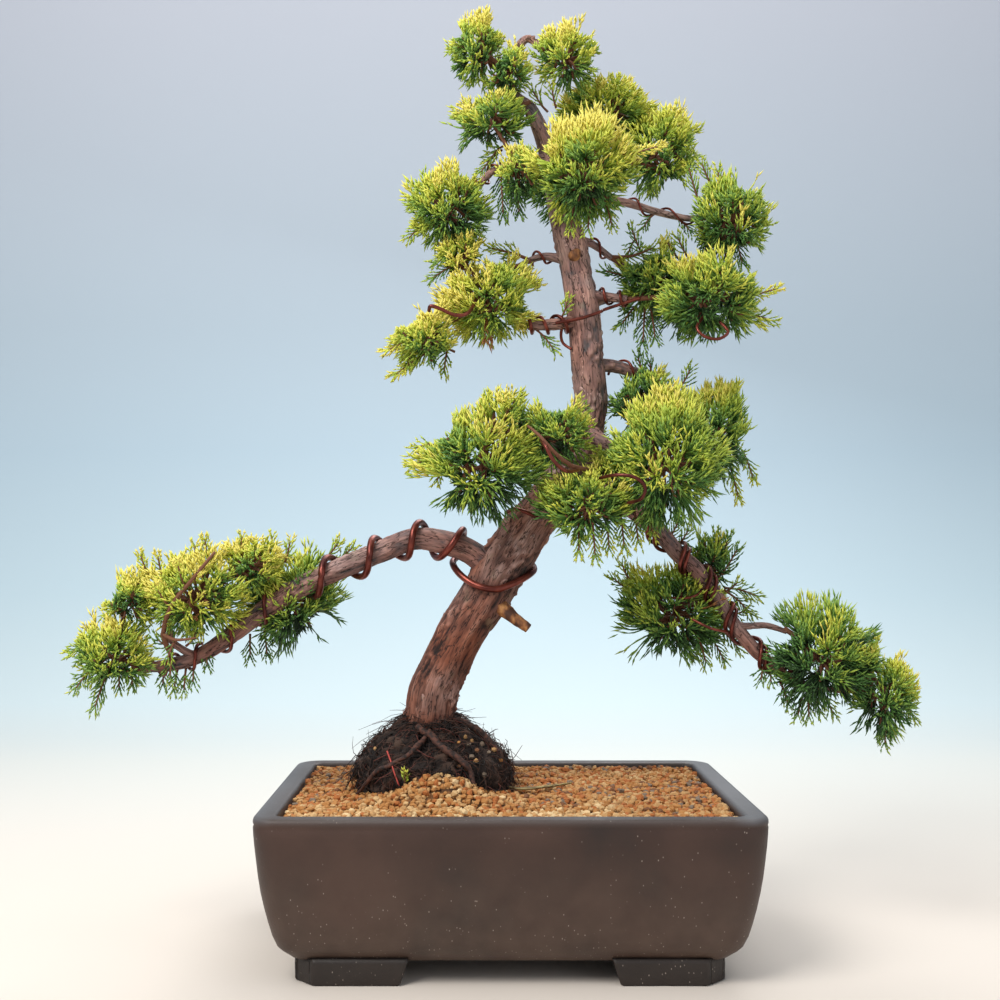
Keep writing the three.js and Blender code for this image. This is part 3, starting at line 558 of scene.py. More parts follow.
class Plant:
    """Collects the foliage's paths by kind, before they are made into meshes."""

    def __init__(self):
        self.twigs = []
        self.cords = {shade: [] for shade in range(len(SHADES) + 1)}
        self.tips = {shade: [] for shade in range(len(SHADES) + 1)}

    def keep(self, store, shades, rows):
        """Puts rows of numbers away by their rounded shade."""
        shades = np.where(shades > DEAD, TAN, np.clip(np.round(shades), 0, TAN - 1)).astype(int)
        for shade in np.unique(shades):
            store[int(shade)].append(rows[shades == shade])

    def grow(self, starts, ends, shades, rng, young=0.5):
        """Branchlets of scale leaves: each a cord that bends up a little and forks into short tips."""
        many = len(starts)
        run = ends - starts
        length = np.linalg.norm(run, axis=1, keepdims=True)
        way = unit(run)
        lift = np.where(way[:, 2:] > -0.3, 0.07, -0.03) * vector(0, 0, 1)
        side_bend = 0.05 * (rng.random((many, 3)) - 0.5)

        def place(t):
            return starts + run * t - (lift + side_bend) * length * 4 * t * (1 - t)

        thick = CORD_RADIUS * (0.85 + 0.3 * rng.random(many)) * (0.92 + 0.16 * young)
        rows = np.concatenate([place(0), place(0.12), place(0.5), place(0.85), thick[:, None]], 1)
        self.keep(self.cords, shades - 0.8, rows)
        flat = unit(np.cross(way, rng.normal(size=(many, 3))))
        forks = np.clip(np.round(0.6 + 2.6 * young + 1.6 * (rng.random(many) - 0.5)), 1, TIPS_MOST)
        for k in range(TIPS_MOST + 1):
            jitter = rng.random((many, 1))
            if k == 0:
                foot, turn, reach = place(0.6), 0.0, 0.4 * length
            else:
                foot = place(0.9 - (0.5 + 0.2 * young) * (k - 1 + 0.7 * jitter) / TIPS_MOST)
                turn = (1 if k % 2 else -1) * (0.28 + 0.26 * rng.random((many, 1)) + 0.1 * young)
                reach = np.clip(0.42 * length, 4, 8) * (0.7 + 0.6 * rng.random((many, 1)))
                reach = reach * (1.1 - 0.3 * young)
            tip = foot + unit(way + flat * turn + lift * 5) * reach
            own = k <= forks
            rows = np.concatenate([foot, tip, 1.1 * thick[:, None]], 1)[own]
            self.keep(self.tips, (shades + 0.5 * rng.random(many))[own], rows)


def surface(reach):
    """An ellipsoid's area, by a usual approximation."""
    a, b, c = reach**1.6075
    return 4 * math.pi * ((a * b + a * c + b * c) / 3) ** (1 / 1.6075)


def spread_ways(many, rng):
    """Directions spread evenly from the top of a lobe to its underside, each turned a little."""
    order = np.arange(many) + 0.5
    height = 1 - 2 * order / many
    angle = order * GOLDEN_ANGLE + rng.random(many)
    level = np.sqrt(1 - height**2)
    return np.stack([level * np.cos(angle), level * np.sin(angle), height], 1)


def cord_shades(ends, height, over_twig, share, tuft_tone, gold, rng):
    """More golden at the top of a lobe and of a tuft, partly the foliage's own gold and partly painted light;
    in patches and by place; and darker inside, as painted shade.
    """
    many = len(ends)
    # Height in the lobe and over the twig: partly the foliage's gold, partly painted light above and painted
    # shade below.
    shades = MIDDLE_SHADE + 2.0 * gold + 1.5 * height + 1.6 * over_twig + 1.2 * noise(ends / 15, 5)
    # The last term darkens cords that end inside the lobe: painted shade.
    shades += 1.6 * tuft_tone + 0.9 * (rng.random(many) - 0.5) + 6 * np.minimum(share - PAINTED_SHADE_WITHIN, 0)
    px, py = photo_pixels(ends)
    for x, y, radius, shift in TONED_PLACES:
        shades += shift * np.exp(-(((px - x) ** 2 + (py - y) ** 2) / radius**2))
    for x, y, z, dead_reach in DEAD_PLACES:
        gone = np.linalg.norm(ends - vector(x, y, z), axis=1) < dead_reach * (0.6 + 0.6 * rng.random(many))
        shades[gone] = 2 * DEAD
    return shades


def clothe(plant, lobe, others, axes, lengths, paths, gold, rng):
    """Cords all over a lobe, in tufts: each leaves the nearest twig and ends near the tuft's round face."""
    middle, reach = lobe
    outer = round(surface(reach) / CORDS_APART**2)
    layer = rng.permutation(np.concatenate([np.full(round(outer * part), size) for size, part in LAYERS]))
    many = len(layer)
    ways = spread_ways(many, rng)
    height = ways[:, 2]
    nearness = ways @ axes.T
    own = nearness.argmax(1)
    off = np.arccos(np.clip(nearness.max(1), -1, 1))
    uneven = 1 + 0.13 * noise(1.7 * ways + middle / 20, 8)
    stray = np.where(rng.random(many) < STRAYS, STRAY_REACH, 0)
    share = layer * lengths[own] * uneven * (1.01 - 0.6 * off**2) + 0.05 * (rng.random(many) - 0.5) + stray
    ends = middle + reach * ways * share[:, None]
    for _ in range(DRAWN_IN_TIMES):
        share[in_the_open(ends, rng)] *= DRAWN_IN
        ends = middle + reach * ways * share[:, None]
    open_below = 0.06 + 0.4 * step(0, -0.8, height) + 0.4 * step(0.1, 0.5, noise(ends / 11, 9))
    kept = (rng.random(many) > open_below) & ~in_the_open(ends, rng)
    for other, other_reach in others:
        kept &= np.linalg.norm((ends - other) / other_reach, axis=1) > 0.8
    t = 1.0 - 0.85 * off / SPREAD - 0.3 * step(0, -0.8, height) + 0.25 * (rng.random(many) - 0.5)
    t = np.clip(t, 0.3, 1) * (paths.shape[1] - 1)
    low = np.minimum(t.astype(int), paths.shape[1] - 2)
    starts = mix(paths[own, low, :3], paths[own, low + 1, :3], (t - low)[:, None])
    tuft_tone = rng.random(len(axes))[own] - 0.5
    shades = cord_shades(ends, height, height - axes[own, 2], share, tuft_tone, gold, rng)
    young = float(np.clip(0.4 + 0.4 * gold, 0.1, 0.9))
    plant.grow(starts[kept], ends[kept], shades[kept], rng, young)


def grow_sprig(plant, line, thick, gold, rng, longest=12.0):
    """A loose twig with cords all round its outer part, which shorten towards its tip."""
    path = along([[*point, 1.0] for point in line], TWIG_STEPS)
    path[:, 3] = mix(thick, 0.5, TWIG_STEPS)
    plant.twigs.append(path)
    run = float(np.linalg.norm(path[-1, :3] - path[0, :3]))
    many = max(6, round(run / 1.7))
    t = np.minimum(0.3 + 0.78 * (np.arange(many) + 0.5) / many, 0.99)
    starts = along(path, t)[:, :3]
    ahead = unit(along(path, t + 0.01)[:, :3] - along(path, t - 0.05)[:, :3])
    flat = unit(np.cross(ahead, vector(0, -1, 0.3)))
    other = np.cross(ahead, flat)
    turn = np.arange(many) * math.pi + 0.9 * (rng.random(many) - 0.5)
    aside = flat * np.cos(turn)[:, None] + other * np.sin(turn)[:, None]
    ways = unit(ahead + aside * (0.75 - 0.45 * t + 0.2 * rng.random(many))[:, None])
    reach = longest * (1.15 - 0.6 * t) * (0.75 + 0.4 * rng.random(many))
    shades = 2.9 + 2.2 * gold + 1.4 * (t - 0.5) + 1.2 * (rng.random(many) - 0.5)
    plant.grow(starts, starts + ways * reach[:, None], shades, rng, 0.35 + 0.4 * max(gold, 0))


# Where the photograph shows sky or wood between and beside the masses: pixel and radius.
OPEN_PLACES = [
    (536, 136, 14), (542, 160, 9), (553, 447, 10), (457, 32, 8), (495, 25, 7), (585, 26, 10),
    (597, 60, 6), (453, 130, 10), (475, 146, 9), (466, 170, 9), (425, 163, 6), (485, 250, 8),
    (438, 272, 11), (497, 255, 10), (516, 262, 7), (537, 300, 13), (403, 313, 15), (426, 304, 9),
    (388, 326, 8), (417, 362, 11), (446, 362, 11), (395, 374, 8), (696, 114, 8), (702, 140, 8),
    (668, 100, 6), (672, 188, 10), (748, 180, 13), (768, 195, 7), (775, 215, 7), (747, 260, 15),
    (764, 281, 9), (720, 258, 8), (764, 300, 9), (777, 315, 8), (670, 330, 7), (636, 253, 13),
    (652, 247, 9), (609, 275, 11), (650, 363, 9), (695, 383, 9), (731, 372, 9), (614, 385, 11),
    (620, 425, 8), (748, 440, 9), (753, 468, 7), (720, 487, 8), (711, 506, 9), (433, 423, 21),
    (412, 440, 11), (451, 402, 11), (440, 487, 15), (423, 480, 9), (459, 518, 11), (556, 400, 15),
    (160, 561, 8), (106, 588, 13), (292, 546, 9), (288, 567, 6), (237, 603, 7), (325, 625, 15),
    (308, 640, 10), (345, 610, 9), (76, 684, 10), (117, 690, 14), (134, 692, 7), (86, 615, 7),
    (66, 645, 7), (632, 640, 17), (672, 664, 9), (706, 530, 7), (731, 532, 6), (693, 543, 6),
    (734, 560, 7), (866, 618, 11), (889, 648, 11), (867, 643, 6), (783, 632, 13), (789, 596, 7),
    (912, 662, 7), (766, 684, 10), (861, 714, 9),
]


def in_the_open(points, rng):
    """Which points would be seen where the photograph shows sky or wood."""
    px, py = photo_pixels(points)
    found = np.zeros(len(points), bool)
    for x, y, radius in OPEN_PLACES:
        found |= np.hypot(px - x, py - y) < radius * (0.85 + 0.3 * rng.random(len(points)))
    return found


def kept_from_open(path, rng):
    """A twig's path, ended where it would come into one of the open places."""
    hidden = in_the_open(path[:, :3], rng)
    if not hidden.any():
        return path
    last = max(int(hidden.argmax()) - 1, 2) / (len(path) - 1)
    return along(path, np.linspace(0, last, len(path)))


# Bare twigs: each point's pixel in the photograph and depth, then the thickness at the foot.
BARE_TWIGS = [
    ([(172, 655, -33), (163, 634, -48), (171, 606, -60), (191, 581, -62), (215, 552, -56)], 2.0),
    ([(163, 634, -48), (176, 640, -60), (196, 638, -62)], 1.4),
    ([(590, 470, -50), (572, 466, -82), (554, 452, -92), (540, 436, -92), (528, 426, -84)], 1.6),
]

# Twigs that carry boughs on into their masses: points, thickness at the foot and how golden.
ONWARD_TWIGS = [
    [[[17, 4, 455.5], [4, -1, 449], [-12, -6, 440]], 2.1, 0.6],
    [[[16, 4, 455.2], [6, 2, 459], [-10, -6, 461]], 1.5, 0.5],
    [[[69, 8, 459.2], [82, 8, 451], [99, 5, 444]], 2.1, 0.2],
    [[[70, 8, 458.6], [84, 3, 458], [97, -2, 462]], 1.5, 0.3],
]

# Loose sprigs: pixels of the foot and of the tip in the photograph, depth, how golden, the cords' length.
SPRIGS = [
    (108, 672, 95, 707, -32, 0, 10), (100, 662, 76, 688, -32, 0.1, 10), (102, 642, 72, 652, -32, 0.4, 10),
    (120, 662, 119, 688, -34, 0, 9), (134, 658, 132, 685, -30, -0.1, 9), (164, 664, 163, 684, -28, -0.2, 9),
    (178, 668, 174, 690, -28, 0, 9), (186, 668, 184, 690, -30, 0, 9), (194, 664, 193, 682, -30, -0.2, 9),
    (206, 644, 207, 665, -30, -0.3, 9), (250, 634, 250, 656, -12, -0.3, 10),
    (264, 630, 267, 654, -8, -0.3, 10), (150, 577, 141, 556, -36, 0.9, 8), (163, 577, 158, 557, -34, 1, 8),
    (195, 566, 195, 546, -36, 0.8, 8), (208, 562, 205, 540, -32, 0.9, 8), (240, 557, 242, 537, -28, 0.8, 8),
    (268, 557, 272, 537, -26, 0.7, 8), (285, 562, 290, 542, -24, 0.7, 8), (732, 296, 776, 289, -20, 0.8, 8),
    (548, 112, 533, 91, -8, 0.3, 9), (664, 546, 679, 520, 4, 0, 9), (672, 552, 688, 531, 4, 0, 9),
    (722, 592, 737, 583, 2, 0.3, 8), (728, 612, 745, 611, 0, 0.1, 8), (898, 700, 914, 718, -20, 0.4, 8),
    (170, 606, 158, 590, -60, 0.9, 8), (186, 588, 178, 566, -61, 0.9, 8), (176, 640, 168, 658, -60, 0, 8),
    (556, 108, 552, 89, -6, 0.4, 9), (502, 150, 481, 172, -10, 0.2, 9), (506, 145, 491, 158, -12, 0.4, 9),
    (430, 222, 409, 238, -12, 0.5, 9), (713, 187, 702, 164, 6, 0.4, 9), (590, 205, 588, 229, -44, 0.3, 9),
    (604, 200, 612, 226, -40, 0.2, 9), (574, 205, 571, 229, -44, 0.3, 9), (690, 260, 678, 238, 0, 0.3, 9),
    (682, 262, 667, 241, 0, 0.3, 9), (578, 518, 579, 551, -58, 0.3, 10), (592, 516, 595, 555, -60, 0.4, 10),
    (606, 513, 609, 548, -56, 0.4, 10), (620, 510, 624, 546, -54, 0.4, 10),
    (634, 508, 638, 541, -52, 0.3, 10), (646, 505, 652, 532, -48, 0.2, 10),
    (328, 566, 352, 548, -4, 0.4, 9), (322, 560, 338, 543, -6, 0.5, 9), (176, 648, 158, 640, -36, -0.2, 9),
    (186, 646, 196, 632, -38, 0, 9), (172, 656, 170, 678, -38, -0.2, 10), (704, 628, 724, 660, 8, 0, 10),
    (694, 626, 706, 662, 6, 0, 10), (712, 622, 738, 648, 6, 0, 10), (634, 590, 613, 578, 10, 0.1, 9),
    (630, 580, 622, 564, 10, 0.3, 9), (820, 690, 833, 713, -22, 0.1, 9), (812, 690, 820, 712, -22, 0, 9),
    (780, 682, 788, 704, -12, 0, 9), (745, 318, 771, 320, -20, 0.3, 10), (446, 326, 388, 350, -28, 0.9, 10),
    (452, 340, 396, 374, -26, 0.7, 10), (448, 346, 444, 371, -22, 0.3, 9),
    (414, 344, 408, 366, -26, 0.6, 9), (729, 462, 738, 497, 22, 0.6, 9), (742, 450, 753, 478, 24, 0.4, 9),
    (486, 52, 483, 20, -16, 0.9, 9), (500, 160, 503, 214, -10, -0.4, 12),
    (514, 168, 519, 212, -9, -0.5, 12), (505, 172, 512, 200, -12, -0.4, 10),
    (606, 156, 659, 146, -60, 1.3, 8), (714, 577, 704, 542, 12, -0.3, 10),
    (715, 577, 716, 535, 16, -0.2, 10), (716, 578, 728, 538, 16, -0.2, 10),
    (717, 579, 737, 550, 10, -0.3, 10), (724, 588, 756, 596, 2, 0.2, 10), (724, 590, 751, 614, 0, 0, 10),
    (764, 664, 761, 680, -18, -0.3, 9), (770, 664, 771, 682, -16, -0.2, 9),
    (802, 698, 798, 715, -20, -0.1, 10), (808, 700, 809, 717, -20, 0, 10), (886, 722, 885, 743, -18, 0, 9),
    (405, 784, 405, 773, -46, 0.4, 3), (446, 458, 412, 466, -58, 0.6, 9), (444, 466, 437, 481, -58, 0.5, 8),
    (440, 446, 416, 448, -54, 0.7, 9), (534, 328, 554, 350, -14, 0.1, 9), (560, 320, 568, 300, -12, 0.4, 7),
    (656, 213, 643, 228, 12, -0.2, 8), (672, 214, 690, 231, 10, -0.2, 8), (642, 300, 622, 324, 6, -0.3, 12),
    (645, 304, 643, 342, 2, -0.4, 12), (650, 304, 655, 338, 0, -0.3, 11), (645, 276, 606, 271, 8, -0.3, 10),
    (648, 384, 638, 358, 14, -0.3, 9), (652, 384, 650, 363, 16, -0.2, 9), (676, 392, 690, 370, 10, 0, 9),
    (455, 352, 420, 330, -20, 0.9, 9), (465, 262, 433, 278, -14, -0.1, 10),
    (470, 256, 436, 262, -16, 0, 10), (700, 205, 689, 168, 6, 0.3, 9), (722, 200, 718, 172, 6, 0.4, 9),
    (700, 215, 708, 262, 4, -0.3, 12), (716, 216, 728, 266, 2, -0.2, 12), (728, 214, 742, 262, 2, -0.3, 12),
    (635, 240, 628, 254, 8, 0, 8), (646, 262, 632, 230, 6, -0.1, 8),
]


def grow_spray(middle, reach, foot, way, draw, finer):
    """The path of one spray's twig from its foot, and how far the spray reaches."""
    length = 0.94 + 0.08 * draw()
    tip = middle + reach * way * length
    low = unit(way - vector(0, 0, 0.25))
    base = middle + reach * low * (0.36 + 0.08 * draw())
    for _ in range(SPRAY_DRAWS):
        draw()
    if draw is finer:
        length *= 0.8 + 0.2 * finer()
    end = mix(base, tip, 0.3 + 0.2 * finer())
    sag = vector(0, 0, -2.5 if way[2] < 0 else 2.0)
    path = [[*foot, 1.15], [*base, 0.95], [*(mix(base, end, 0.5) + sag), 0.8], [*end, 0.6]]
    return along(path, TWIG_STEPS), length


def grow_mass(plant, name, seed):
    """One mass by the source's rule, its sprays carried on to finer twigs within the same reach."""
    root, sprays, dense, gold, *lobes = FOLIAGE[name]
    root = vector(*root)
    lobes = [(vector(*middle), vector(*reach)) for middle, reach in lobes]
    random = numbers(seed)
    first, first_reach = lobes[0]
    past = mix(root, first, 1.3)
    stem = [
        [*(root + STEM_SUNK * unit(root - first)), 1.9],
        [*mix(root, first, 0.55), 1.7],
        [*(first - vector(0, 0, 0.12 * first_reach[2])), 1.5],
        [*past, 1],
    ]
    plant.twigs.append(along(stem, TWIG_STEPS))
    for middle, _ in lobes[1:]:
        link = [[*first, 1.5], [*mix(first, middle, 0.5), 1.4], [*middle, 1]]
        plant.twigs.append(along(link, TWIG_STEPS))
    if dense:
        for _ in range(CORE_DRAWS * len(lobes)):
            random()
    onward = unit(past - root)
    finer = numbers(seed + 1000)
    rng = np.random.default_rng(seed)
    for index, lobe in enumerate(lobes):
        middle, reach = lobe
        own = math.ceil(sprays * LATER_SPRAYS) if index else sprays
        draws = [random] * own + [finer] * round(own * FINER_SPRAYS[dense])
        ways = directions(own, random) + directions(len(draws) - own, finer)
        paths = []
        lengths = []
        for way, draw in zip(ways, draws):
            if index:
                foot = mix(first, middle, 0.8 + 0.2 * way[0])
            else:
                foot = along(stem, 0.62 + 0.3 * float(np.dot(way, onward)))[0, :3]
            path, length = grow_spray(middle, reach, foot, way, draw, finer)
            paths.append(kept_from_open(path, rng))
            lengths.append(length)
        plant.twigs += paths
        others = [other for other in lobes if other is not lobe]
        clothe(plant, lobe, others, np.array(ways), np.array(lengths), np.array(paths), gold, rng)


# Copper wires

# Coils: the limb, the shares of it where they start and end, turns, thickness and the first angle.
WIRES = {
    "left_bough_wire": ["left_bough", 0.129, 0.549, -4, 4.6, math.pi],
    "left_tip_wire": ["left_bough", 0.585, 0.785, -2, 2.6, math.pi],
    "right_bough_wire": ["right_bough", 0.12, 0.8, 6, 3, 0],
    "right_bough_second_wire": ["right_bough", 0.155, 0.778, 5.5, 2.6, 0.75],
    "right_elbow_wire": ["right_elbow_bough", 0.24, 0.95, 3, 1.8, 2],
    "upper_left_wire": ["upper_left_bough", 0.2, 0.95, 3, 1.6, 0],
    "right_shoulder_wire": ["right_shoulder_bough", 0.25, 0.95, 3, 1.6, 0],
}
LOOP_THICKNESS = 4.6
LOOP_POINTS = [
    [-6, 19.9, 253], [4.7, 19.9, 255.4], [15.7, 12.9, 251.9], [18.2, 0.4, 247.4], [12, -10.1, 242.6],
    [2.9, -16.5, 238], [-7, -19.8, 235], [-17.3, -18.9, 236.4], [-25.7, -14.8, 240.3], [-32.5, -8.5, 246],
    [-36, 0, 251.5], [-35, 7, 254.5], [-31.4, 9.9, 258.2], [-30.6, 8, 262.1],
]

# Wires thinner than the part's source has: coils as above, and loops by thickness, then pixels and depth.
FINE_COILS = [
    ["left_bough", 0.8, 0.96, -2, 2.4, 2],
    ["mid_left_bough", 0.12, 1.0, 3, 2.4, 0.5],
    ["mid_right_bough", 0.15, 1.0, 2.5, 2.0, 0],
    ["mid_right_high_bough", 0.2, 0.9, 1.5, 1.8, 0],
    ["mid_left_high_bough", 0.2, 0.9, 1.5, 1.8, 1],
]
FINE_LOOPS = [
    (2.4, (578, 470, -76), (566, 471, -92), (554, 461, -97), (546, 447, -97), (541, 440, -88)),
    (2.6, (506, 513, -18), (513, 509, -27), (523, 511, -31), (534, 516, -28), (541, 520, -20)),
    (
        2.2, (556, 323, -13), (566, 321, -12), (582, 318, -12.6), (600, 312, -10.6), (606, 309, -6),
        (640, 298, -9),
    ),
    (2.0, (574, 319, -9), (564, 325, -8), (561, 334, -5), (563, 343, -3), (571, 349, -5)),
    (
        2.0, (704, 316, -30), (697, 327, -38), (704, 336, -41), (718, 339, -42), (728, 332, -40),
        (720, 322, -34),
    ),
    (
        2.4, (476, 300, -30), (468, 313, -44), (455, 315, -47), (441, 309, -49), (431, 306, -49),
        (429, 311, -46),
    ),
    (
        2.2, (600, 478, -68), (616, 475, -80), (634, 477, -84), (645, 487, -84), (641, 499, -80),
        (628, 503, -68),
    ),
    (1.8, (706, 588, -4), (692, 597, -9), (668, 598, -6)),
    (1.8, (728, 632, -12), (710, 628, -18), (690, 618, -12)),
]
ROUND_POINTS = 28  # of a coil's path, in one turn
WIRE_CLEAR = 0.75  # from a limb's smooth line to the wire, for the bark between


def coil(limb, start, end, rounds, thickness, first):
    """A smooth coil round part of a limb, on its bark. Rounds below 0 wind the other way."""
    count = round(abs(rounds) * ROUND_POINTS)
    here, radius, side, other = stations(BOUGHS[limb], count, start, end)
    a = first + math.copysign(2 * math.pi, rounds) * np.arange(count + 1) / ROUND_POINTS
    out = side * np.cos(a)[:, None] + other * np.sin(a)[:, None]
    return here + out * (radius + thickness / 2 + WIRE_CLEAR)[:, None]


def make_wire(name, path, thickness, material):
    caps = (path[0] + 0.4 * unit(path[0] - path[1]), path[-1] + 0.4 * unit(path[-1] - path[-2]))
    radii = np.full(len(path) + 2, thickness / 2)
    radii[0] = radii[-1] = thickness * 0.36
    heap = Heap()
    cords(heap, [[caps[0], *path, caps[1]]], [radii], sides=12)
    made = heap.mesh(name + "_copper", material)
    return made


# The pot


POT = {
    "width": 307,
    "depth": 220,
    "outside": [
        [150, 12.5], [80, 12.5], [30, 12.5], [27, 12.7], [24, 13.5], [21, 15.2], [18.5, 17.5], [15.6, 20],
        [13, 23], [10.3, 29.5], [8, 38], [6, 46.5], [4.2, 56], [2.7, 66], [1.5, 77], [0.7, 85],
        [0.25, 91], [0.05, 96], [0.5, 97.4], [0, 98.8], [0.1, 100.4], [0.6, 101.6], [1.6, 102.4],
    ],
    "inside": [
        [3.5, 102.6], [11.5, 102.6], [12.8, 102.3], [13.6, 101.5], [14, 100], [14.6, 97], [17, 60],
        [24, 32], [34, 22], [80, 22],
    ],
}
CORNER_RADIUS = 17
INNER_CORNER_RADIUS = 6
FEET = {"top": 16, "inner": 58, "inner_foot": 66, "outer": 130.5, "front": 93, "back": 50, "corner": 12}
FOOT_MIDDLE = (93, 72)
FOOT_LEAN = 24  # the height over which a foot's inner end leans from inner_foot to inner


def pot_ring(inset, z, corner, corner_steps=10, side_steps=26):
    """A rounded rectangle, set in from the rim's outline, with points along its sides too."""
    half_width = POT["width"] / 2 - inset
    half_depth = POT["depth"] / 2 - inset
    corner = min(corner, half_depth * 0.9)
    arcs = []
    for quarter, (sx, sy) in enumerate([(1, 1), (-1, 1), (-1, -1), (1, -1)]):
        a = math.pi / 2 * (quarter + np.arange(corner_steps + 1) / corner_steps)
        x = sx * (half_width - corner) + corner * np.cos(a)
        y = sy * (half_depth - corner) + corner * np.sin(a)
        arcs.append(np.stack([x, y, np.full_like(x, z)], 1))
    t = np.arange(1, side_steps)[:, None] / side_steps
    sides = [mix(arc[-1], following[0], t) for arc, following in zip(arcs, arcs[1:] + arcs[:1])]
    return np.concatenate([part for pair in zip(arcs, sides) for part in pair])


def pot_skin():
    rings = []
    for inset, z in POT["outside"]:
        rings.append(pot_ring(min(inset, 100), z, max(CORNER_RADIUS - inset * 0.35, 8)))
    for k, (inset, z) in enumerate(POT["inside"]):
        corner = CORNER_RADIUS - 2 if k == 0 else INNER_CORNER_RADIUS + (2 if k == 1 else 0)
        rings.append(pot_ring(inset, z, corner))
    points = np.array(rings)
    wave = noise(points / 38, 3)[..., None] * 0.35 + noise(points / 9, 4)[..., None] * 0.1
    outward = unit(points * vector(1, 1, 0))
    fade = ((points[..., 2:3] > 14) & (points[..., 2:3] < 101)).astype(float)
    points = points - outward * np.abs(wave) * fade
    heap = Heap()
    quads, ends = tube_faces(len(rings), points.shape[1])
    heap.add(points, quads, ends)
    return heap


def foot_skin(sx, sy):
    """A foot of the pot: a block with softened edges that leans in to its inner end."""
    heap = Heap()
    levels = [(0, 1.2), (0.6, 0.4), (1.6, 0), (6, 0), (10, 0), (13, 0.2), (FEET["top"], 0.2)]
    rings = []
    for z, inset in levels:
        inner = mix(FEET["inner_foot"], FEET["inner"], z / FOOT_LEAN) + inset
        outer = FEET["outer"] - inset
        front = FEET["front"] - inset
        back = FEET["back"] + inset
        cut = FEET["corner"]
        corners = [[inner, back], [outer, back], [outer, front - cut], [outer - cut, front], [inner, front]]
        ring = []
        for k in range(5):
            before, here, after = (vector(*corners[(k + n) % 5]) for n in (-1, 0, 1))
            for pull, share in ((before, 2.2), (before, 0.7), (after, 0.7), (after, 2.2)):
                ring.append(here + unit(pull - here) * share)
            ring += [mix(here, after, t) for t in np.linspace(0.12, 0.88, 9)]
        rings.append([[sx * x, sy * y, z] for x, y in ring])
    points = np.array(rings)
    rough = noise(points / 5, 5) * 0.5 + noise(points / 1.9, 6) * 0.3
    middle = vector(sx * FOOT_MIDDLE[0], sy * FOOT_MIDDLE[1], 0)
    outward = unit((points - middle) * vector(1, 1, 0))
    low = step(9, 0, points[..., 2])
    points = points - outward * (np.abs(rough) * (0.3 + 1.2 * low))[..., None]
    quads, ends = tube_faces(len(rings), points.shape[1])
    if sx * sy < 0:
        quads, ends = quads[:, ::-1], ends[:, ::-1]
    heap.add(points, quads, ends)
    return heap


# Soil and the root ball


BALL_MIDDLE = vector(-49, 0, 0)
BALL_REACH = vector(52, 45, 0)
BALL_LEVELS = [
    [84, 0.84], [100, 1.02], [112, 1.03], [122, 0.97], [131, 0.85], [138, 0.68], [145, 0.47], [151, 0.36],
]
SURFACE_ROOTS = [
    [[-58, -20, 145, 4], [-42, -36, 134, 4], [-26, -43, 122, 3.2], [-20, -47, 104, 2.2]],
    [[-50, -20, 143, 3.4], [-64, -38, 130, 3], [-85, -37, 117, 2.6], [-97, -28, 103, 1.8]],
    [[-37, -4, 149, 5], [-19, -6, 141, 4.4], [-5, -10, 126, 3.4], [0, -14, 104, 2.2]],
    [[-50, 18, 144, 4], [-60, 41, 124, 3.4], [-68, 46, 104, 2.2]],
]
SOIL_EDGE = 15.4
LUMPS_APART = 28
LUMP_HEIGHT = 1.4
BALL_SIDES = 200
# A dry leaf on the soil: pixels of the photograph along it, and half its width in mm.
DRY_LEAF = [(503, 788), (520, 791), (546, 789), (572, 785)]
DRY_LEAF_WIDTHS = [0.8, 2.6, 2.2, 0.5]
# A fresh red root on the ball: pixels of the photograph, and depth in mm.
FRESH_ROOT = [(387, 751, -33), (391, 762, -38), (394, 772, -42), (399, 786, -46)]


def soil_height(x, y):
    """The soil's surface: a heap round the root ball, with low lumps all over."""

    def mound(cx, cy, rx, ry, height):
        return height * np.exp(-(((x - cx) / rx) ** 2) - ((y - cy) / ry) ** 2)

    def lump(v):
        return 0.5 * LUMP_HEIGHT * np.cos(2 * np.pi * v / LUMPS_APART)

    return 99.8 + 0.005 * y + mound(-44, -44, 30, 24, 18) + mound(-45, 0, 85, 75, 3) + lump(x) + lump(y)


def ball_radius(z):
    """How far the ball reaches across and back at a height."""
    share = np.interp(z, *zip(*BALL_LEVELS))
    return BALL_REACH[0] * share, BALL_REACH[1] * share


def ball_skin():
    """The ball of fine roots: a lumpy mound with deep hollows."""
    heights = np.concatenate([np.linspace(84, 151, 56), np.full(12, 151)])
    shrink = np.concatenate([np.ones(56), np.linspace(0.94, 0.1, 12)])
    z, a = np.meshgrid(heights, turns(BALL_SIDES), indexing="ij")
    rx, ry = (reach * shrink[:, None] for reach in ball_radius(z))
    points = np.stack([BALL_MIDDLE[0] + rx * np.cos(a), BALL_MIDDLE[1] + ry * np.sin(a), z], -1)
    lumps = 3.6 * noise(points / 12, 21) + 2.6 * noise(points / 4.6, 22) + 1.4 * noise(points / 1.9, 23)
    outward = unit(points - vector(BALL_MIDDLE[0], BALL_MIDDLE[1], 100))
    points = points + outward * (lumps - 2)[..., None]
    slope = step(112, 152, points[..., 2])
    points[..., 2] -= 7 * slope * step(-8, -34, points[..., 1])
    points[..., 0] -= 5 * slope * step(-42, -12, points[..., 0])
    heap = Heap()
    quads, ends = tube_faces(len(heights), BALL_SIDES)
    # The lumps' height, which the root material turns into painted shade in the hollows.
    heap.add(points, quads, ends, value=lumps.ravel() / 5)
    return heap, points.reshape(-1, 3), outward.reshape(-1, 3)


HAIR_ROOTS = 5200
LOOSE_EVERY = 29  # one hair root in this many stands off in a loose curl
ROOT_COLOURS = {"dark": (26, 17, 14), "brown": (72, 46, 35), "red": (92, 44, 34)}


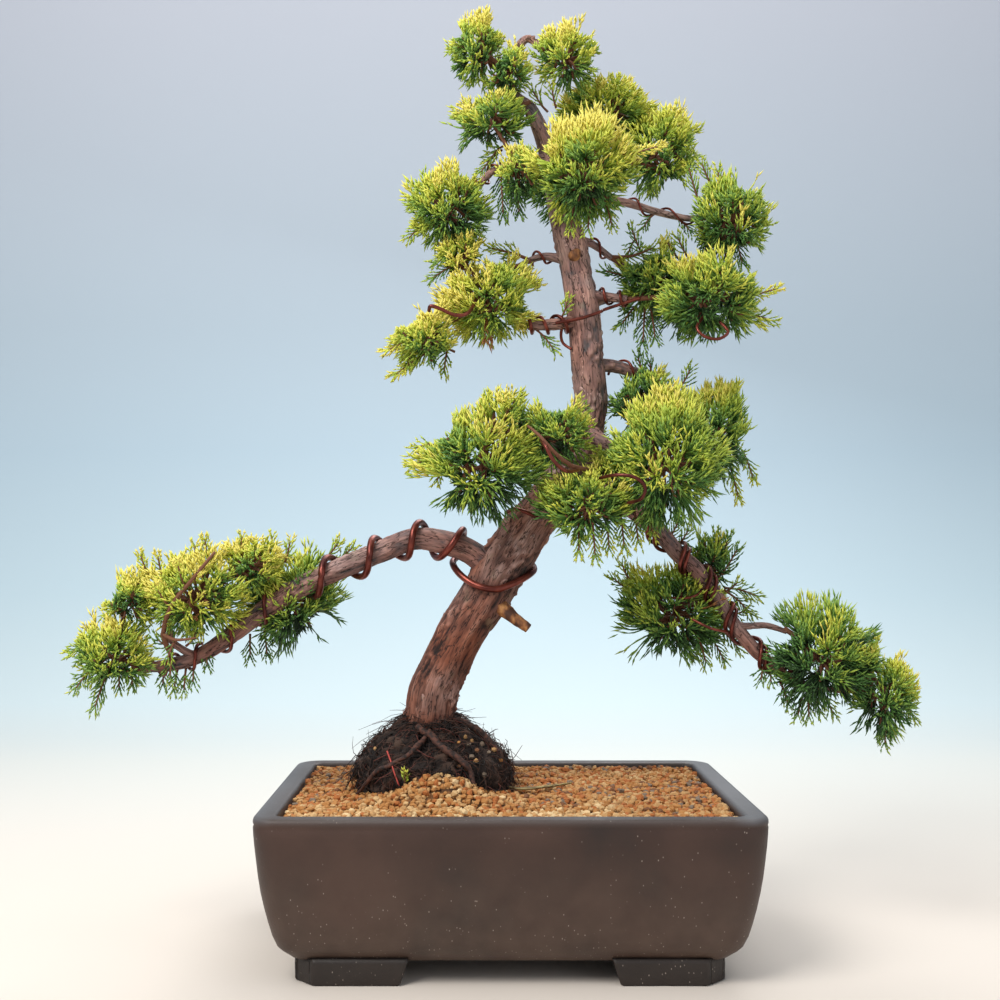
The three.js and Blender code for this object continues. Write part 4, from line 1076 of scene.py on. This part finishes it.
def hair_roots(points, outward, random):
    """Fine roots that run over the ball, some standing off it in long loose curls."""
    kinds = {name: ([], []) for name in ROOT_COLOURS}
    for k in range(HAIR_ROOTS):
        i = int(random() * len(points))
        start = points[i]
        if start[2] < soil_height(start[0], start[1]) - 2:
            continue
        out = outward[i]
        way = vector(random() - 0.5, random() - 0.5, random() - 0.62)
        way = unit(way - out * np.dot(way, out) * 0.9)
        loose = k % LOOSE_EVERY == 0
        length = (16 if loose else 5) + 15 * random() ** 2
        lift = 0.3 + 2.6 * random() ** 3 + (3.5 * random() if loose else 0)
        wander = unit(np.cross(way, out)) * (random() - 0.5) * length * 1.1
        path = [
            start - out * 0.6,
            start + way * length * 0.3 + out * lift,
            start + way * length * 0.62 + out * lift * 1.4 + wander * 0.5,
            start + way * length + out * (lift * (1.5 if loose else 0.4)) + wander,
        ]
        r = 0.2 + 0.34 * random() ** 2
        pick = random()
        name = "dark" if pick < 0.6 else "brown" if pick < 0.94 else "red"
        kinds[name][0].append(path)
        kinds[name][1].append([r, r * 0.9, r * 0.7, r * 0.4])
    return kinds


GRAIN_SHADES = {
    "ochre": (0.42, 0.19, 0.055),
    "tan": (0.47, 0.265, 0.105),
    "orange": (0.38, 0.125, 0.03),
    "brown": (0.18, 0.075, 0.03),
    "grey": (0.19, 0.14, 0.10),
    "pale": (0.56, 0.36, 0.165),
    "cream": (0.68, 0.49, 0.26),
}


def grain_shape(random):
    """A worn stone with twelve corners."""
    golden = (1 + math.sqrt(5)) / 2
    corners = []
    for a, b in itertools.product((-1, 1), repeat=2):
        corners += [[0, a, b * golden], [a, b * golden, 0], [b * golden, 0, a]]
    corners = unit(np.array(corners, float))
    faces = []
    for trio in itertools.combinations(range(12), 3):
        p = corners[list(trio)]
        if all(np.linalg.norm(p[i] - p[j]) < 1.1 for i, j in ((0, 1), (1, 2), (0, 2))):
            facing = np.dot(np.cross(p[1] - p[0], p[2] - p[0]), p[0]) > 0
            faces.append(trio if facing else trio[::-1])
    worn = corners * np.array([[0.76 + 0.42 * random()] for _ in range(12)])
    return worn, np.array(faces)


def in_ball(x, y, z, grown):
    rx, ry = ball_radius(z)
    return ((x - BALL_MIDDLE[0]) / (rx + grown)) ** 2 + ((y - BALL_MIDDLE[1]) / (ry + grown)) ** 2 < 1


# Pixels of the photograph where single grains lie on the ball of roots.
GRAINS_ON_BALL = [
    (472, 740), (477, 750), (469, 744), (482, 743), (459, 742), (465, 736), (459, 766), (466, 768),
    (484, 774), (494, 749), (501, 760), (489, 752), (375, 748), (389, 773), (472, 756), (476, 760),
]


def on_ball(px, py):
    """Where the ball of roots is met by the line of sight through a pixel."""
    for depth in np.arange(-110, 0, 0.5):
        point = seen_at(px, py, depth)
        if in_ball(*point, -0.5):
            return point
    return None


GRAIN_SHAPES = 14
GRAIN_SPACING = 3.55
GRAIN_SIZES = (1.55, 1.05)  # the smallest grain's radius, and how much more the largest has
GRAIN_LAYERS = [(0.0, -3.0, 1.0), (1.7, -1.5, 0.85)]  # each layer's shift, height and share of grains
GRAIN_STEPS = [(0.36, "orange"), (0.7, "ochre"), (1.0, "tan"), (1.2, "pale"), (math.inf, "cream")]
DARK_GRAINS = 0.12


def grain_shade(x, y, random):
    """Rusty patches, paler grains towards the front, and some dark ones."""
    rust = noise(np.array([[x / 30, y / 22, 0]]), 31)[0]
    pick = random() + 0.32 * step(-10, -88, y) - 0.05 - 0.24 * rust
    if pick < DARK_GRAINS:
        return "brown" if random() < 0.6 else "grey"
    return next(shade for most, shade in GRAIN_STEPS if pick <= most)


def tumbled(random):
    """How a stone is stretched a little, and the turn and tilt that it lies with."""
    stretch = vector(1 + 0.35 * random(), 0.85 + 0.3 * random(), 0.75 + 0.2 * random())
    spin = 2 * math.pi * random()
    tilt = random() * 1.2
    c, s = math.cos(spin), math.sin(spin)
    ct, st = math.cos(tilt), math.sin(tilt)
    turn = np.array([[c, -s * ct, s * st], [s, c * ct, -c * st], [0, st, ct]])
    return stretch, turn


def make_grains(random, materials):
    """Grains of soil laid over the bed in two layers, and some on the ball of roots."""
    shapes = [grain_shape(random) for _ in range(GRAIN_SHAPES)]
    heaps = {shade: Heap() for shade in GRAIN_SHADES}
    half = vector(POT["width"], POT["depth"]) / 2 - SOIL_EDGE
    columns, rows = (np.arange(1.2 - reach, reach - 1, GRAIN_SPACING) for reach in half)
    least, more = GRAIN_SIZES
    for (shift, lift, share), column, row in itertools.product(GRAIN_LAYERS, columns, rows):
        x = column + (random() - 0.5) * GRAIN_SPACING * 0.9 + shift
        y = row + (random() - 0.5) * GRAIN_SPACING * 0.9 + shift
        size = least + more * random() ** 1.6
        if abs(x) + size > half[0] + 0.5 or abs(y) + size > half[1] + 0.5:
            continue
        z = soil_height(x, y) + lift + 0.9 * random() + 1.2 * step(-74, -90, y)
        if share < 1 and random() < 1 - share:
            continue
        if in_ball(x, y, z, -5):
            continue
        shade = grain_shade(x, y, random)
        corners, faces = shapes[int(random() * len(shapes))]
        stretch, turn = tumbled(random)
        heaps[shade].add((corners * stretch * size) @ turn.T + vector(x, y, z), faces)
    for px, py in GRAINS_ON_BALL:
        shade = ("ochre", "tan", "brown", "grey")[int(4 * random())]
        corners, faces = shapes[int(random() * len(shapes))]
        met = on_ball(px, py)
        if met is not None:
            heaps[shade].add(corners * (1.3 + 0.7 * random()) + met + vector(0, 0.6, -0.4), faces)
    for shade, heap in heaps.items():
        heap.mesh("grains_" + shade, materials[shade], smooth=False)


def slab(top, under):
    """A closed slab between two grids of points."""
    n, m = top.shape[:2]
    i, j = np.meshgrid(np.arange(n - 1), np.arange(m - 1), indexing="ij")
    a = (i * m + j).ravel()
    quads = np.stack([a, a + m, a + m + 1, a + 1], -1)
    rim = [k * m for k in range(n)] + [(n - 1) * m + k for k in range(1, m)]
    rim += [k * m + m - 1 for k in range(n - 2, -1, -1)] + list(range(m - 2, 0, -1))
    rim = np.array(rim)
    after = np.roll(rim, -1)
    edge = np.stack([rim, rim + n * m, after + n * m, after], -1)
    heap = Heap()
    heap.add([top, under], quads, quads[:, ::-1] + n * m, edge)
    return heap


def soil_bed():
    """The bed under the grains, with its rough top."""
    xs = np.linspace(-1, 1, 111) * (POT["width"] / 2 - SOIL_EDGE)
    ys = np.linspace(-1, 1, 79) * (POT["depth"] / 2 - SOIL_EDGE)
    x, y = np.meshgrid(xs, ys, indexing="ij")
    z = soil_height(x, y) - 2.6 + 0.5 * noise(np.stack([x / 3, y / 3, 0 * x], -1), 8)
    top = np.stack([x, y, z], -1)
    return slab(top, np.stack([x * 0.94, y * 0.92, 0 * z + 24], -1))


# Materials


def linear(*srgb):
    """A colour in linear light from its 0 to 255 values."""
    made = [c / 255 / 12.92 if c <= 10 else ((c / 255 + 0.055) / 1.055) ** 2.4 for c in srgb]
    return (*made, 1)


BLACK = (0, 0, 0, 1)
WHITE = (1, 1, 1, 1)


class Look:
    """A material being made. Most methods add a node and return the socket that carries its result."""

    def __init__(self, name, colour, roughness=0.6, metallic=0.0):
        self.material = bpy.data.materials.new(name)
        self.material.use_nodes = True
        self.tree = self.material.node_tree
        self.inputs = self.tree.nodes["Principled BSDF"].inputs
        self.put(self.inputs["Base Color"], colour)
        self.put(self.inputs["Roughness"], roughness)
        self.put(self.inputs["Metallic"], metallic)

    def put(self, socket, value):
        if isinstance(value, bpy.types.NodeSocket):
            self.tree.links.new(value, socket)
        else:
            socket.default_value = value

    def node(self, kind, inputs=None, **settings):
        node = self.tree.nodes.new("ShaderNode" + kind)
        for name, value in settings.items():
            setattr(node, name, value)
        for name, value in (inputs or {}).items():
            self.put(node.inputs[name], value)
        return node.outputs

    def ramp(self, factor, *stops):
        outputs = self.node("ValToRGB", {"Fac": factor})
        elements = outputs[0].node.color_ramp.elements
        while len(elements) < len(stops):
            elements.new(0.5)
        for element, (place, colour) in zip(elements, stops):
            element.position = place
            element.color = colour
        return outputs["Color"]

    def shades(self, factor, *stops):
        """A ramp from a place and the 0 to 255 values of each stop."""
        return self.ramp(factor, *((place, linear(*srgb)) for place, *srgb in stops))

    def place(self, stretch):
        """The object's own place in the frame, stretched."""
        place = self.node("TexCoord")["Object"]
        return self.node("Mapping", {"Vector": place, "Scale": stretch})["Vector"]

    def noise(self, scale, detail=4.0, stretch=(1, 1, 1)):
        """A noise with a number of features per metre."""
        inputs = {"Vector": self.place(stretch), "Scale": scale, "Detail": detail}
        return self.node("TexNoise", inputs)["Fac"]

    def limb_noise(self, scale, detail):
        """A noise drawn out along each limb, in features per millimetre across it."""
        place = self.node("Attribute", attribute_name="grain")["Vector"]
        return self.node("TexNoise", {"Vector": place, "Scale": scale, "Detail": detail})["Fac"]

    def relief(self, reach):
        """The height kept with the mesh's points, as 0 to 1 from one end of its reach to the other."""
        return self.spread(self.node("Attribute", attribute_name="relief")["Fac"], -reach, reach)

    def axis(self, name):
        place = self.node("TexCoord")["Object"]
        return self.node("SeparateXYZ", {"Vector": place})[name]

    def spread(self, value, low, high, to_low=0.0, to_high=1.0):
        ends = {"From Min": low, "From Max": high, "To Min": to_low, "To Max": to_high}
        return self.node("MapRange", {"Value": value, **ends})["Result"]

    def rising(self, low, high):
        """A value that grows from 0 to 1 between two heights in metres."""
        return self.spread(self.axis("Z"), low, high)

    def math(self, operation, *values):
        return self.node("Math", dict(enumerate(values)), operation=operation)["Value"]

    def blend(self, factor, first, second, mode="MIX"):
        return self.node("Mix", {0: factor, 6: first, 7: second}, data_type="RGBA", blend_type=mode)[2]

    def bump(self, height, strength, distance):
        inputs = {"Height": height, "Strength": strength, "Distance": distance}
        self.put(self.inputs["Normal"], self.node("Bump", inputs)["Normal"])

    def coloured(self, colour):
        self.put(self.inputs["Base Color"], colour)
        return self.material


def mottled(name, srgb, roughness, noise, *stops, bump=None, metallic=0.0):
    """A material in the shades of one noise, which can be its bump too."""
    look = Look(name, linear(*srgb), roughness, metallic)
    pattern = look.noise(*noise)
    if bump:
        look.bump(pattern, *bump)
    return look.coloured(look.shades(pattern, *stops))


def bark_material(name, silvered):
    """Peeling bark: painted shade in the cracks and low places, red-brown where plates came off, grey above
    some heights.
    """
    look = Look(name, linear(120, 76, 60), 0.82)
    # The ramp on the relief puts painted shade in the cracks and low places; the raised plates stay pale.
    plates = look.shades(
        look.relief(1.3),
        (0.1, 40, 25, 21),
        (0.24, 92, 60, 48),
        (0.42, 122, 86, 71),
        (0.62, 150, 118, 105),
        (0.85, 186, 162, 153),
    )
    red = look.ramp(look.noise(30), (0.42, BLACK), (0.6, WHITE))
    weathered = look.blend(red, linear(236, 226, 228), linear(246, 200, 174))
    tinted = look.blend(1.0, plates, weathered, "MULTIPLY")
    moss = look.ramp(look.noise(75, 5), (0.62, BLACK), (0.74, (0.5, 0.5, 0.5, 1)))
    tinted = look.blend(moss, tinted, linear(112, 104, 78))
    silver = look.blend(look.rising(*silvered), BLACK, linear(87, 85, 88))
    tinted = look.blend(1.0, tinted, silver, "ADD")
    fibre = look.limb_noise(0.9, 4)
    strand = look.ramp(fibre, (0.3, (0.62, 0.6, 0.6, 1)), (0.52, WHITE), (0.72, (1.2, 1.19, 1.18, 1)))
    tinted = look.blend(1.0, tinted, strand, "MULTIPLY")
    # Thin crack lines darkened as painted shade; the same lines go into the bump.
    dark = (0.16, 0.13, 0.12, 1)
    seam = look.limb_noise(0.3, 3)
    crack_and_painted_shade = look.ramp(seam, (0.475, WHITE), (0.495, dark), (0.505, dark), (0.525, WHITE))
    look.bump(look.math("ADD", fibre, crack_and_painted_shade), 0.55, 0.0007)
    return look.coloured(look.blend(1.0, tinted, crack_and_painted_shade, "MULTIPLY"))


def clay_material(name, dark=1.0):
    """Unglazed brown clay: red and grey mottling, pale specks, dust towards the foot, a painted sky
    reflection greying the rim; dark below 1 paints shade.
    """

    def tone(*srgb):
        return [value * dark for value in srgb]

    look = Look(name, linear(60, 42, 38), 0.5)
    broad = look.noise(16, 5)
    clay = look.shades(broad, (0.3, *tone(36, 24, 20)), (0.5, *tone(54, 34, 26)), (0.7, *tone(68, 46, 37)))
    dusty = look.math("MULTIPLY", look.rising(0.085, 0.012), look.noise(60, 6))
    dust = look.blend(dusty, clay, linear(*tone(98, 80, 68)))
    # Painted reflection of the sky on the rim: grey-blue over the clay above 98 mm, brighter towards the
    # ends.
    painted_sheen_at_ends = look.spread(look.math("ABSOLUTE", look.axis("X")), 0.134, 0.146)
    painted_rim_sheen = look.blend(painted_sheen_at_ends, linear(66, 55, 51), linear(88, 86, 88))
    with_painted_rim_sheen = look.blend(look.rising(0.098, 0.1018), dust, painted_rim_sheen)
    cells = look.node("TexVoronoi", {"Vector": look.place((1, 1, 0.6)), "Scale": 380})["Distance"]
    speck = look.ramp(cells, (0.06, (0.7, 0.7, 0.7, 1)), (0.15, BLACK))
    lower = look.math("MULTIPLY_ADD", look.rising(0.09, 0.015), 0.16, look.noise(120, 2))
    chosen = look.ramp(lower, (0.56, BLACK), (0.65, WHITE))
    look.put(look.inputs["Roughness"], look.spread(broad, 0, 1, 0.4, 0.68))
    look.bump(look.noise(700, 5), 0.35, 0.0005)
    return look.coloured(look.blend(look.math("MULTIPLY", speck, chosen), with_painted_rim_sheen, linear(172, 158, 146)))


def root_material():
    """Wet fibrous soil, with painted shade in its hollows."""
    look = Look("root_mass", linear(38, 26, 22), 0.95)
    look.bump(look.noise(800, 5), 0.8, 0.001)
    stops = (0.2, 16, 11, 10), (0.55, 38, 27, 23), (0.85, 70, 52, 42)
    return look.coloured(look.shades(look.relief(1), *stops))


LEAF_COLOURS = {
    "deep": (42, 68, 40),
    "shade": (60, 92, 48),
    "green": (84, 125, 60),
    "leaf": (124, 158, 70),
    "lime": (168, 188, 72),
    "yellow": (206, 210, 84),
    "gold": (228, 216, 104),
    "tan": (186, 128, 80),
}


# Putting it together


def dress_limbs():
    random = numbers(SEEDS["bark"])
    barks = {"trunk": bark_material("bark", (0.2, 0.42)), "bough": bark_material("bough_bark", (0.1, 0.3))}
    for index, (name, line) in enumerate({"trunk": TRUNK, **BOUGHS}.items()):
        kind = "bough" if index else "trunk"
        heap = Heap()
        skin_parts = limb_skin(heap, line, 50 + 10 * index, kind)
        if line[0][3] > FLAKED_FROM:
            flakes(heap, *skin_parts, random, FLAKE_LENGTHS[kind])
        skin = heap.mesh(name + "_bark", barks[kind])
        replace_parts(skin, name)
    heap = Heap()
    limb_skin(heap, CUT_STUB, 44, "cut_stub")
    limb_skin(heap, CUT_FACE, 45, "cut_face")
    # Bare orange-tan wood with darker grain.
    stops = (0.38, 76, 46, 32), (0.5, 138, 88, 52), (0.68, 190, 136, 82)
    cut_wood = mottled("cut_wood", (176, 116, 70), 0.7, (260, 4, (1, 1, 0.5)), *stops, bump=(0.4, 0.0006))
    heap.mesh("cut_stub", cut_wood)


def grow_foliage():
    """All the masses, the bare twigs and the loose sprigs."""
    plant = Plant()
    for index, name in enumerate(FOLIAGE):
        grow_mass(plant, name, SEEDS["masses"] + index)
    rng = np.random.default_rng(SEEDS["sprigs"])
    for points, thick in BARE_TWIGS:
        sizes = np.linspace(thick, thick / 2, len(points))
        line = [[*seen_at(*point), size] for point, size in zip(points, sizes)]
        plant.twigs.append(along(line, TWIG_STEPS))
    for line, thick, gold in ONWARD_TWIGS:
        grow_sprig(plant, line, thick, gold, rng)
    for foot_x, foot_y, tip_x, tip_y, depth, gold, longest in SPRIGS:
        ends = seen_at(foot_x, foot_y, depth + 4), seen_at(tip_x, tip_y, depth)
        belly = mix(*ends, 0.5) + vector(0, 0, 1.5 if ends[1][2] < ends[0][2] else -1.5)
        grow_sprig(plant, [ends[0], belly, ends[1]], 0.9, gold, rng, longest)
    return plant


def dress_foliage():
    plant = grow_foliage()
    twig_material = Look("twig", linear(112, 70, 48), 0.8).material
    heap = Heap()
    group = np.array(plant.twigs)
    cords(heap, group[..., :3], group[..., 3], sides=5)
    twigs = heap.mesh("foliage_twigs", twig_material)
    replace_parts(twigs, *FOLIAGE)
    for number, shade in enumerate([*SHADES, "tan"]):
        look = Look("leaf_" + shade, linear(*LEAF_COLOURS[shade]), 0.55)
        look.put(look.inputs["Specular IOR Level"], 0.3)
        for kind, rows in (("cords_", plant.cords[number]), ("leaves_", plant.tips[number])):
            if not rows:
                continue
            heap = Heap()
            rows = np.concatenate(rows)
            if kind == "cords_":
                reeds(heap, rows[:, :12].reshape(-1, 4, 3), rows[:, 12])
            else:
                spindles(heap, rows[:, :3], rows[:, 3:6], rows[:, 6])
            heap.mesh(kind + shade, look.material)


def dress_pot():
    clay = clay_material("clay")
    pot = pot_skin().mesh("clay_pot", clay)
    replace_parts(pot, "pot")
    # The feet are the same clay at half its tones: painted shade under the pot.
    painted_shade_clay = clay_material("foot_clay_painted_shade", 0.5)
    across = (("left", -1), ("right", 1))
    for (depth, sy), (side, sx) in itertools.product((("front", -1), ("rear", 1)), across):
        foot = foot_skin(sx, sy).mesh(f"clay_foot_{depth}_{side}", painted_shade_clay)
        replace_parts(foot, f"foot_{depth}_{side}")


def dress_soil():
    random = numbers(SEEDS["soil"])
    stops = (0.35, 52, 33, 18), (0.65, 124, 84, 48)
    crumbs = mottled("soil_bed", (96, 62, 34), 0.95, (320,), *stops, bump=(0.7, 0.001))
    bed = soil_bed().mesh("soil_under", crumbs)
    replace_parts(bed, "soil")
    looks = {name: Look("grain_" + name, (*colour, 1), 0.9).material for name, colour in GRAIN_SHADES.items()}
    make_grains(random, looks)
    dry_leaf()


def on_soil(px, py):
    """Where the soil is met by the line of sight through a pixel."""
    for depth in np.arange(-96, 96, 0.5):
        point = seen_at(px, py, depth)
        if point[2] < soil_height(point[0], point[1]) + 1.2:
            return point
    return point


def dry_leaf():
    """A dry brown leaf that lies on the soil."""
    middle = np.array([on_soil(*pixel) for pixel in DRY_LEAF])
    t = np.linspace(0, 1, 24)
    line = along(np.column_stack([middle, DRY_LEAF_WIDTHS]), t)
    across = np.linspace(-1, 1, 7)
    wide = line[:, None, 3] * across
    curl = 1.2 + 0.9 * across**2 + 0.3 * noise(line[:, None, :3] / 4 + across[:, None], 51)
    top = np.stack([line[:, :1] + 0.1 * wide, line[:, 1:2] + wide, line[:, 2:3] + curl], -1)
    heap = slab(top, top - vector(0, 0, 0.5))
    stops = (0.4, 104, 86, 50), (0.6, 166, 148, 96)
    material = mottled("dry_leaf", (140, 120, 76), 0.8, (320, 3, (0.3, 1, 1)), *stops)
    heap.mesh("dry_leaf", material)


def dress_roots():
    random = numbers(SEEDS["roots"])
    ball, points, outward = ball_skin()
    mass = ball.mesh("root_mass", root_material())
    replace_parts(mass, "root_ball")
    for name, group in hair_roots(points, outward, random).items():
        material = Look(name + "_hair_roots", linear(*ROOT_COLOURS[name]), 0.85).material
        heap = Heap()
        cords(heap, *group)
        heap.mesh(name + "_hair_roots", material)
    material = Look("fresh_root", linear(178, 66, 56), 0.6).material
    heap = Heap()
    path = along([[*seen_at(*point), 0.5] for point in FRESH_ROOT], np.linspace(0, 1, 12))
    cords(heap, [path[:, :3]], [path[:, 3]], sides=6)
    heap.mesh("fresh_root", material)
    stops = (0.4, 34, 20, 16), (0.6, 84, 50, 38)
    material = mottled("thick_root", (62, 36, 28), 0.8, (420,), *stops, bump=(0.6, 0.0008))
    heap = Heap()
    for line in SURFACE_ROOTS:
        path = along(line, np.linspace(0, 1, 40))
        wander = 1.1 * np.stack([noise(path[:, :3] / 7, s) for s in (41, 42, 43)], -1)
        swell = 1 + 0.22 * noise(path[:, :3] / 3, 44)
        cords(heap, [path[:, :3] + wander], [path[:, 3] * swell * 0.56], sides=9)
    heap.mesh("surface_roots", material)


def dress_wires():
    stops = (0.35, 78, 36, 32), (0.65, 132, 66, 54)
    copper = mottled("copper", (120, 58, 44), 0.36, (90,), *stops, metallic=0.72)
    for name, plan in WIRES.items():
        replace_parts(make_wire(name, coil(*plan), plan[4], copper), name)
    loop = along(LOOP_POINTS, np.linspace(0, 1, 90))
    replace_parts(make_wire("trunk_loop_wire", loop, LOOP_THICKNESS, copper), "trunk_loop_wire")
    for plan in FINE_COILS:
        make_wire(plan[0] + "_fine", coil(*plan), plan[4], copper)
    for number, (thickness, *points) in enumerate(FINE_LOOPS, 1):
        loop = along([seen_at(*point) for point in points], np.linspace(0, 1, 60))
        make_wire(f"fine_loop_{number}", loop, thickness, copper)


# Lamps: name, place, size in metres, watts and colour.
LAMPS = [
    ("key", (-800, -900, 1400), 0.8, 27, (1, 0.97, 0.93)),
    ("fill", (1100, -900, 700), 1.2, 4, (0.93, 0.96, 1)),
    ("rim", (300, 900, 1300), 0.9, 11, (1, 1, 1)),
    ("wash", (0, 300, 2300), 2.5, 27, (1, 1, 1)),
]


def make_sweep():
    """A pale floor that sweeps up behind."""
    profile = [[-3000, 0]]
    profile += [[900 + 700 * math.sin(a), 700 - 700 * math.cos(a)] for a in np.linspace(0, math.pi / 2, 24)]
    profile += [[1600, 3600]]
    data = bpy.data.meshes.new("sweep")
    points = [[x / 1000, y / 1000, z / 1000] for x in (-4500, 4500) for y, z in profile]
    n = len(profile)
    faces = [[k, k + n, k + n + 1, k + 1] for k in range(n - 1)]
    data.from_pydata(points, [], faces)
    data.polygons.foreach_set("use_smooth", [True] * len(faces))
    look = Look("sweep", linear(226, 226, 224), 0.9)
    run = look.math("MULTIPLY_ADD", look.axis("Y"), 0.3, look.axis("Z"))
    sky = look.shades(
        look.spread(run, 0.0, 2.0),
        (0.01, 212, 203, 193),
        (0.11, 206, 208, 203),
        (0.18, 198, 212, 215),
        (0.3, 186, 205, 213),
        (0.46, 180, 199, 211),
        (0.9, 200, 205, 216),
    )
    data.materials.append(look.coloured(sky))
    put_in_scene("sweep", data)


def make_lamps():
    for name, place, size, power, colour in LAMPS:
        light = bpy.data.lights.new(name, "AREA")
        light.size = size
        light.energy = power
        light.color = colour
        lamp = put_in_scene(name, light)
        lamp.location = vector(*place) / 1000
        aim = vector(0, 0, 250) - vector(*place)
        tilt = math.atan2(math.hypot(aim[0], aim[1]), -aim[2])
        lamp.rotation_euler = (tilt, 0, math.atan2(-aim[0], aim[1]))


def make_world():
    world = bpy.data.worlds.new("studio")
    world.use_nodes = True
    backdrop = world.node_tree.nodes["Background"]
    backdrop.inputs["Color"].default_value = (0.86, 0.92, 1, 1)
    backdrop.inputs["Strength"].default_value = 0.4
    bpy.context.scene.world = world
    bpy.context.scene.view_settings.view_transform = "Standard"


make_camera()
make_sweep()
make_lamps()
make_world()
dress_limbs()
dress_wires()
dress_foliage()
dress_pot()
dress_soil()
dress_roots()
